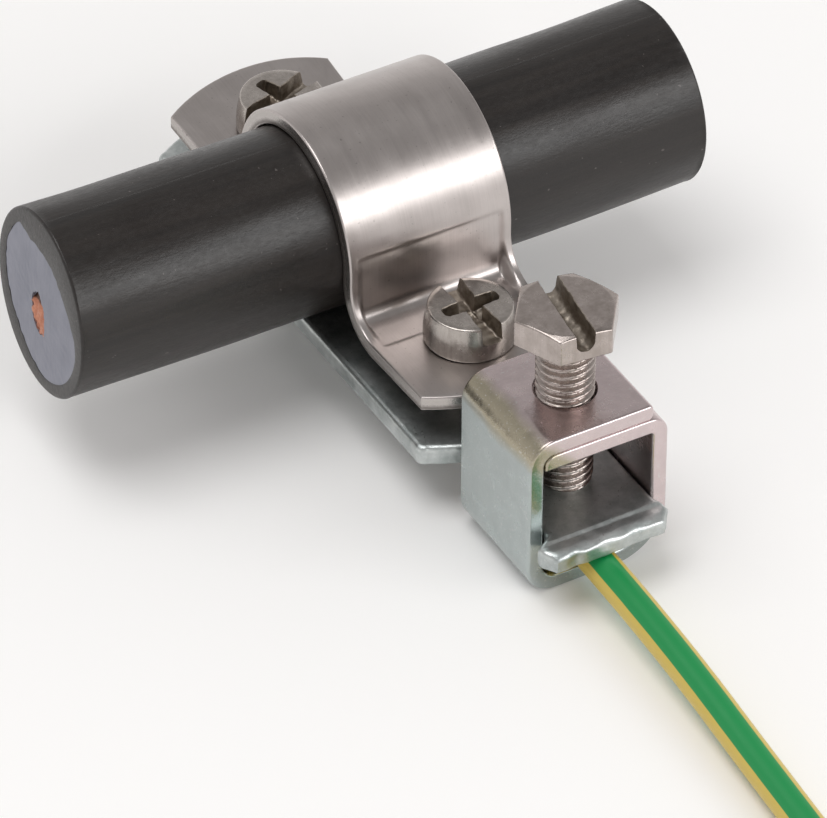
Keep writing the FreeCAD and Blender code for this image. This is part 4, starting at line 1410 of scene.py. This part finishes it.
@dataclass
class TerminalFrame:
    """The zinc-plated strip bent into a box, its top of two layers."""

    sheet: float = 2.4
    half: float = 10.65
    rear: float = 41.77
    depth: float = 18.0
    floor_bottom: float = -23.65
    top: float = 1.7
    lap_top: float = -0.75
    top_bend: float = 1.6
    lap_bend: float = 0.4
    left_floor_bend: float = 2.1
    right_floor_bend: float = 5.4
    top_overhang: float = 2.3
    lap_end_clearance: float = 0.12
    edge_radius: float = 0.45
    bore: float = 4.06
    bore_rim: float = 0.3
    free_tip: float = 0.7
    lap_tip: float = 0.3

    def profile(self) -> Array:
        """The strip's outline seen from the front, from the top's free end round to its lap."""
        sheet, half, top, floor = self.sheet, self.half, self.top, self.floor_bottom
        crown, lap = self.top_bend + sheet, self.lap_bend + sheet
        left, right = self.left_floor_bend + sheet, self.right_floor_bend + sheet
        inside = half - sheet
        free = half - self.top_overhang
        lap_end = inside - self.lap_end_clearance
        lap_low = self.lap_top - sheet
        tip = self.free_tip
        return trace(
            [
                (free, top - tip, tip, True),
                (free - tip, top),
                (-half + crown, top, crown, True),
                (-half, top - crown),
                (-half, floor + left, left, True),
                (-half + left, floor),
                (half - right, floor, right, True),
                (half, floor + right),
                (half, self.lap_top - lap, lap, True),
                (half - lap, self.lap_top),
                (-lap_end + self.top_bend, self.lap_top, self.top_bend, True),
                (-lap_end, self.lap_top - self.top_bend),
                (-lap_end, lap_low + self.lap_tip, self.lap_tip, True),
                (-lap_end + self.lap_tip, lap_low),
                (half - lap, lap_low, self.lap_bend, False),
                (inside, self.lap_top - lap),
                (inside, floor + right, self.right_floor_bend, False),
                (half - right, floor + sheet),
                (-half + left, floor + sheet, self.left_floor_bend, False),
                (-inside, floor + left),
                (-inside, top - crown, self.top_bend, False),
                (-half + crown, top - sheet),
                (free - tip, top - sheet, tip, True),
                (free, top - sheet + tip),
            ],
            1.0,
            6.0,
        )

    def build(self) -> bpy.types.Object:
        """Makes the frame: its profile carried along the depth, rounded at both ends, then bored."""
        front, rear = -self.rear - self.depth, -self.rear
        flat, level = carried(self.profile(), front, rear, self.edge_radius, 14)
        shell = Shell()
        shell.grid(np.stack([flat[..., 0], level, flat[..., 1]], -1), closed=True)
        for rim, y in ((flat[0], front), (flat[-1], rear)):

            def place(points: Array, y: float = y) -> tuple[Array, None]:
                """Points of an end face on the shell."""
                return np.stack([points[:, 0], np.full(len(points), y), points[:, 1]], -1), None

            shell.cap([rim], None, place)
        piece = shell.build("terminal_box", 42.0)
        piece = bored(piece, self.cutter(), 42.0)
        weigh_normals(piece)
        crown = self.top_bend + self.sheet
        axis = DATUM.world(np.array((crown - self.half, 0.0, self.top - crown)))
        dress(piece, PassivatedZinc("passivated_zinc_plate", bend_x=float(axis[0]), bend_z=float(axis[2])))
        return seat(piece, "terminal_frame", "zinc_frame", "terminal_frame")

    def cutter(self) -> bpy.types.Object:
        """The tapped hole with its countersunk rim, as a closed turned form."""
        reach = self.rear + self.depth / 2
        low = self.lap_top - self.sheet
        rim = self.bore_rim
        section = [
            (0.001, low - 1), (self.bore + rim, low - 1), (self.bore + rim, low), (self.bore, low + rim),
            (self.bore, self.top - rim), (self.bore + rim, self.top), (self.bore + rim, self.top + 1),
            (0.001, self.top + 1),
        ]
        angle = turns(96)
        radius = np.array([s[0] for s in section])[:, None]
        z = np.array([s[1] for s in section])[:, None] + 0 * angle
        points = np.stack([radius * np.cos(angle), radius * np.sin(angle) - reach, z], -1)
        shell = Shell()
        shell.grid(points, closed=True)
        return shell.build("terminal_bore")


# The screws.


@dataclass(frozen=True)
class Groove:
    """One straight groove of a recess: half width and depth at its middle and at its ends.

    A closed groove rises and narrows over its last half millimetre, an open one runs out of the head."""

    angle: float
    half: tuple[float, float]
    depth: tuple[float, float]
    reach: float
    corner: float
    closed: bool
    lean: float = 0.1
    lip: float = 0.1
    stations: int = 61
    shut_length: float = 0.55
    shut_narrowing: float = 0.35
    shut_rise: float = 0.2
    wander: tuple[float, float] = (0.03, 0.05)

    def cutter(self, top: float, seed: int) -> bpy.types.Object:
        """The closed form that cuts the groove, round the screw's axis.

        Formula: each section runs down one wall, round a quarter circle into the floor and up the
        other side, with a 45 degree lip at the top; half width and depth change evenly from the
        middle to the ends, wander by random waves, and rise over the head at a closed end.

        Args:
            top: the height of the head's top.
            seed: chooses the waves.

        Returns:
            The cutter.
        """
        station = np.linspace(-self.reach, self.reach, self.stations)[:, None]
        far = np.abs(station) / self.reach
        shut = step(np.abs(station), self.reach - self.shut_length, self.reach) if self.closed else 0 * station
        half = self.half[0] + (self.half[1] - self.half[0]) * far - self.shut_narrowing * shut * self.half[1]
        depth = self.depth[0] + (self.depth[1] - self.depth[0]) * far
        turn = np.linspace(0, math.pi / 2, 7)
        out = np.concatenate([half + self.lip + 1, half, half - self.lean - self.corner * (1 - np.cos(turn))], 1)
        down = np.concatenate([0 * half - 1, 0 * half + self.lip, depth - self.corner * (1 - np.sin(turn))], 1)
        down = np.where(down > 0, down * (1 - shut) - self.shut_rise * shut, down)
        out = np.concatenate([-out, out[:, ::-1]], 1)
        down = np.concatenate([down, down[:, ::-1]], 1)
        place = np.stack([station + 0 * out, out, down], -1)
        out = out + self.wander[0] * waves(place, 1.6, seed)
        down = down + self.wander[1] * waves(place, 1.3, seed + 1) * (down > 0.5)
        angle = math.radians(self.angle)
        x = station * math.cos(angle) - out * math.sin(angle)
        y = station * math.sin(angle) + out * math.cos(angle)
        points = np.stack([x, y, top - down], -1)
        shell = Shell()
        shell.grid(points, closed=True)
        shell.fans(points)
        return shell.build("groove")


@dataclass
class Screw:
    """What both kinds of screw share: a head over a rolled thread, in the place of its node.

    The rows count the head's rings: over the top's middle, out to its rim, down the side and back
    under the head. The neck is the run-out under the head: its extra radius and its length."""

    name: str
    node: str
    body: str
    slot: str
    grooves: tuple[Groove, ...]
    head_height: float
    tip_chamfer: float
    major: float = 3.99
    root: float = 3.36
    pitch: float = 1.25
    rows_per_turn: int = 14
    around_head: int = 360
    around_thread: int = 120
    edge: float = 0.25
    rows: tuple[int, int, int, int] = (6, 14, 12, 8)
    flat_margin: float = 1.0
    neck: tuple[float, float] = (0.25, 0.5)
    flank_share: tuple[float, float] = (0.12, 0.86)

    def __post_init__(self) -> None:
        """Reads the screw's levels and its axis from its node's box."""
        low, high = (DATUM.local(corner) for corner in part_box(self.node))
        self.tip, self.head_high = float(low[2]), float(high[2])
        self.head_low = self.head_high - self.head_height
        self.reach = float(low[1] + high[1]) / 2

    def rim(self, angle: Array) -> Array:
        """The top's outer radius at each angle."""
        raise NotImplementedError

    def crown(self, radius: Array) -> Array:
        """How far the top falls at each radius."""
        raise NotImplementedError

    def flank(self, angle: Array, share: Array) -> Array:
        """The head's radius down its side, from share 0 at the top to 1 at the underside."""
        raise NotImplementedError

    def head(self, shell: Shell) -> None:
        """Adds the head with no recess: rings out to the rim, down the side and back under it.

        Formula: a quarter round joins the top to the side and the side to the underside; every
        ring is the rim's radius at each angle, inset or scaled, at its own height."""
        angle = turns(self.around_head)
        even = 0 * angle
        rim = self.rim(angle)
        inset, drop = (part[:, None] for part in rounding(self.edge, 4))
        start = rim.min() - self.flat_margin
        middle = np.linspace(0.01, 1, self.rows[0])[:, None] * start + even
        outer = start + np.linspace(0, 1, self.rows[1])[1:, None] * (rim - self.edge - start)
        top_radius = np.concatenate([middle, outer, rim - inset[1:]])
        fall = self.crown(top_radius)
        fall[1 - len(drop) :] += drop[1:]
        share = np.linspace(0, 1, self.rows[2])[1:, None]
        side_low = self.head_low + self.edge
        side = self.head_high - fall[-1]
        side = side + share * (side_low - side)
        foot = self.flank(angle, 1.0) - inset[::-1][1:]
        under = foot[-1] + np.linspace(0, 1, self.rows[3])[1:, None] * (self.major - foot[-1])
        radius = np.concatenate([top_radius, self.flank(angle, share), foot, under])
        level = np.concatenate([
            self.head_high - fall, side, self.head_low + drop[::-1][1:] + even, self.head_low + 0 * under,
        ])
        points = np.stack([radius * np.cos(angle), radius * np.sin(angle), level], -1)
        shell.grid(points, closed=True)
        shell.grid(np.stack([points[0] * (0, 0, 1), points[0]]), closed=True)
        ratio = self.around_head // self.around_thread
        first, second = shell.add(points[-1]), shell.add(self.thread()[0])
        column = np.arange(self.around_thread)
        ring = [first + (column * ratio + k) % self.around_head for k in range(ratio + 1)]
        ring += [second + (column + 1) % self.around_thread, second + column]
        shell.faces.extend(np.stack(ring, 1).tolist())

    def thread(self) -> Array:
        """The threaded shank's points, row by row.

        Formula: at angle a and height z the phase is z / pitch - a / 360 degrees, and the radius
        falls from the crest to the root by a smooth step of the distance from the phase's middle;
        near the tip a cone cuts it, and just under the head it runs out."""
        count = int((self.head_low - self.tip) / self.pitch * self.rows_per_turn)
        z = np.linspace(self.head_low, self.tip + 0.02, count)[:, None]
        angle = turns(self.around_thread)
        phase = (z / self.pitch - angle / (2 * math.pi)) % 1
        crest = self.major - (self.major - self.root) * step(np.abs(phase - 0.5) * 2, *self.flank_share)
        neck = self.root + self.neck[0]
        radius = neck + (crest - neck) * step(self.head_low - z, 0.0, self.neck[1])
        radius = np.minimum(radius, self.major - self.tip_chamfer + z - self.tip)
        return np.stack([radius * np.cos(angle), radius * np.sin(angle), z + 0 * angle], -1)

    def build(self, finish: Finish) -> bpy.types.Object:
        """Makes the screw on its axis and cuts its grooves."""
        shell = Shell()
        self.head(shell)
        rows = self.thread()
        shell.grid(rows, closed=True)
        flat = rows[-1] * (1, 1, 0) * np.linspace(1, 0, 5)[:, None, None] + (0, 0, self.tip)
        shell.grid(np.concatenate([rows[-1:], flat]), closed=True)
        shell.points = [points + (0, self.reach, 0) for points in shell.points]
        piece = shell.build(self.name, 40.0)
        dress(piece, finish)
        for number, groove in enumerate(self.grooves):
            cutter = groove.cutter(self.head_high, 81 + 2 * number)
            cutter.data.transform(Matrix.Translation((0, self.reach * MM, 0)))
            dress(cutter, BrownRecess("brown_recess"))
            piece = bored(piece, cutter, 40.0)
        return seat(piece, self.body, self.slot, self.node)


@dataclass
class CheeseHead(Screw):
    """A strap screw: a cheese head with a full slot and a tapered cross recess."""

    radius: float = 6.39
    top_radius: float = 5.85
    dome: float = 0.12

    def rim(self, angle: Array) -> Array:
        """A circle."""
        return np.full(angle.shape, self.top_radius)

    def crown(self, radius: Array) -> Array:
        """A flat top that rolls down a little at its edge."""
        return self.dome * step(radius, self.top_radius - 0.9, self.top_radius + 0.2)

    def flank(self, angle: Array, share: Array) -> Array:
        """A side that swells from the top's radius to the full one, as a quarter sine."""
        swell = np.sin(np.clip(share / 0.85, 0, 1) * math.pi / 2)
        return self.top_radius + (self.radius - self.top_radius) * swell + 0 * angle


@dataclass
class HexagonHead(Screw):
    """The terminal screw: a hexagon head with rounded corners and a chamfered top."""

    flats: float = 13.0
    corners: float = 14.9
    turn: float = 53.3
    chamfer_reach: float = 0.3
    chamfer_slope: float = 0.3

    def rim(self, angle: Array) -> Array:
        """Half the flats over the cosine of the angle from a flat's middle, up to the corner's circle."""
        sixth = math.pi / 3
        away = (angle - math.radians(self.turn)) % sixth - sixth / 2
        return np.minimum(self.flats / 2 / np.cos(away), self.corners / 2)

    def crown(self, radius: Array) -> Array:
        """A flat top with a conical chamfer that starts just inside the flats."""
        return self.chamfer_slope * np.clip(radius - self.flats / 2 + self.chamfer_reach, 0, None)

    def flank(self, angle: Array, share: Array) -> Array:
        """Upright sides."""
        return self.rim(angle) + 0 * np.asarray(share)


# The earth wire.

# The wire's route in millimetres from the cable's axis: (x from the wire's straight line, y, rise
# above its resting height as a share of the rise to the terminal's channel).
WIRE_ROUTE = (
    (0.0, -62.5, 1.0),
    (-0.3, -86.0, 0.62),
    (-1.4, -107.0, 0.14),
    (-2.5, -126.0, 0.0),
)


@dataclass
class EarthWire:
    """The green and yellow wire gripped under the tongue, cut off just outside the view."""

    diameter: float = 4.9
    core_diameter: float = 2.76
    offset: float = 1.5
    inner_end: float = -40.47
    bare_end: float = 5.0
    channel: float = -18.75
    resting: float = -21.2
    around: int = 72

    def route(self) -> Array:
        """The route's points, from the inner end behind the terminal."""
        climb = self.channel - self.resting
        points = [(-self.offset, self.inner_end, self.channel)]
        points += [(x - self.offset, y, self.resting + rise * climb) for x, y, rise in WIRE_ROUTE]
        return np.array(points)

    def line(self) -> bpy.types.Object:
        """The wire's smooth line: a NURBS spline with the route's points as its control points."""
        curve = bpy.data.curves.new("earth_wire_line", "CURVE")
        curve.dimensions = "3D"
        curve.resolution_u = 24
        spline = curve.splines.new("NURBS")
        route = DATUM.world(self.route())
        spline.points.add(len(route) - 1)
        spline.points.foreach_set("co", np.concatenate([route, np.ones((len(route), 1))], 1).ravel())
        spline.order_u = 3
        spline.use_endpoint_u = True
        line = bpy.data.objects.new("earth_wire_line", curve)
        bpy.context.scene.collection.objects.link(line)
        return line

    def followed(self, line: bpy.types.Object) -> Array:
        """The spline's own points in metres, in order, from its curve with no bevel."""
        bpy.context.view_layer.update()
        graph = bpy.context.evaluated_depsgraph_get()
        mesh = bpy.data.meshes.new_from_object(line.evaluated_get(graph))
        points = np.zeros(len(mesh.vertices) * 3, np.float32)
        mesh.vertices.foreach_get("co", points)
        bpy.data.meshes.remove(mesh)
        return points.reshape(-1, 3).astype(float)

    def tube(self, name: str, path: Array, radius: float) -> bpy.types.Object:
        """A round section carried along the path, with closed, slightly domed ends.

        Formula: at each point the section stands square to the path's direction d, on the axes
        d x z and (d x z) x d."""
        ahead = np.gradient(path, axis=0)
        ahead /= np.linalg.norm(ahead, axis=1, keepdims=True)
        side = np.cross(ahead, (0.0, 0.0, 1.0))
        side /= np.linalg.norm(side, axis=1, keepdims=True)
        up = np.cross(side, ahead)
        angle = turns(self.around)
        ring = np.cos(angle)[None, :, None] * side[:, None] + np.sin(angle)[None, :, None] * up[:, None]
        body = path[:, None] + radius * ring
        length = np.concatenate([[0], np.cumsum(np.linalg.norm(np.diff(path, axis=0), axis=1))])
        note = np.stack(np.broadcast_arrays(np.cos(angle), np.sin(angle), length[:, None]), -1)
        shell = Shell()
        shell.grid(body, note, closed=True)
        for end, centre in ((0, path[0]), (-1, path[-1])):
            share = np.linspace(1, 0, 6)[:, None, None]
            disc = centre + share * (body[end][None] - centre)
            shell.grid(disc, np.broadcast_to(note[end], disc.shape), closed=True)
        return shell.build(name, 50.0)

    def build(self) -> None:
        line = self.line()
        world = self.followed(line)
        bpy.data.objects.remove(line)
        path = DATUM.local(world)
        cover = self.tube("earth_wire_cover_tube", path, self.diameter / 2)
        dress(cover, StripedCover("green_and_yellow_pvc"))
        seat(cover, "base", "green_yellow_cover", "earth_wire_cover")
        inner = path[0] + np.array((0, self.bare_end, 0))
        bare = np.concatenate([inner + np.linspace(0, 1, 6)[:-1, None] * (path[0] - inner), path])
        core = self.tube("earth_wire_core_rod", bare, self.core_diameter / 2)
        dress(core, CutCopper("drawn_copper", hollow_share=0.0))
        seat(core, "base", "copper", "earth_wire_core")


def main() -> None:
    """Builds the studio and every sub-assembly in order."""
    logging.basicConfig(level=logging.INFO, format="%(name)s: %(message)s")
    Studio().build()
    EarthWire().build()
    Cable().build()
    Strap().build()
    Plate().build()
    TerminalFrame().build()
    steel = TurnedSteel("turned_stainless_screw")
    for side, angle in (("front", 90.0), ("rear", 19.5)):
        grooves = (
            Groove(angle, (1.15, 1.75), (2.6, 2.6), 8.0, 0.4, False),
            Groove(angle, (1.2, 0.9), (3.0, 1.8), 4.15, 0.3, True),
            Groove(angle + 90, (1.2, 0.9), (3.0, 1.8), 4.3, 0.3, True),
        )
        CheeseHead(
            f"{side}_strap_screw", f"strap_screw_{side}", f"{side}_screw", "stainless_screw", grooves, 5.2, 0.9
        ).build(steel)
    slot = Groove(82.7, (1.4, 1.4), (2.75, 2.75), 9.0, 1.25, False)
    HexagonHead(
        "slotted_hexagon_screw", "terminal_screw", "terminal_screw", "hexagon_screw", (slot,), 4.3, 0.3
    ).build(TurnedSteel("machined_hexagon_screw", "#bbb1ac", "#a49a94"))


if __name__ == "__main__":
    main()
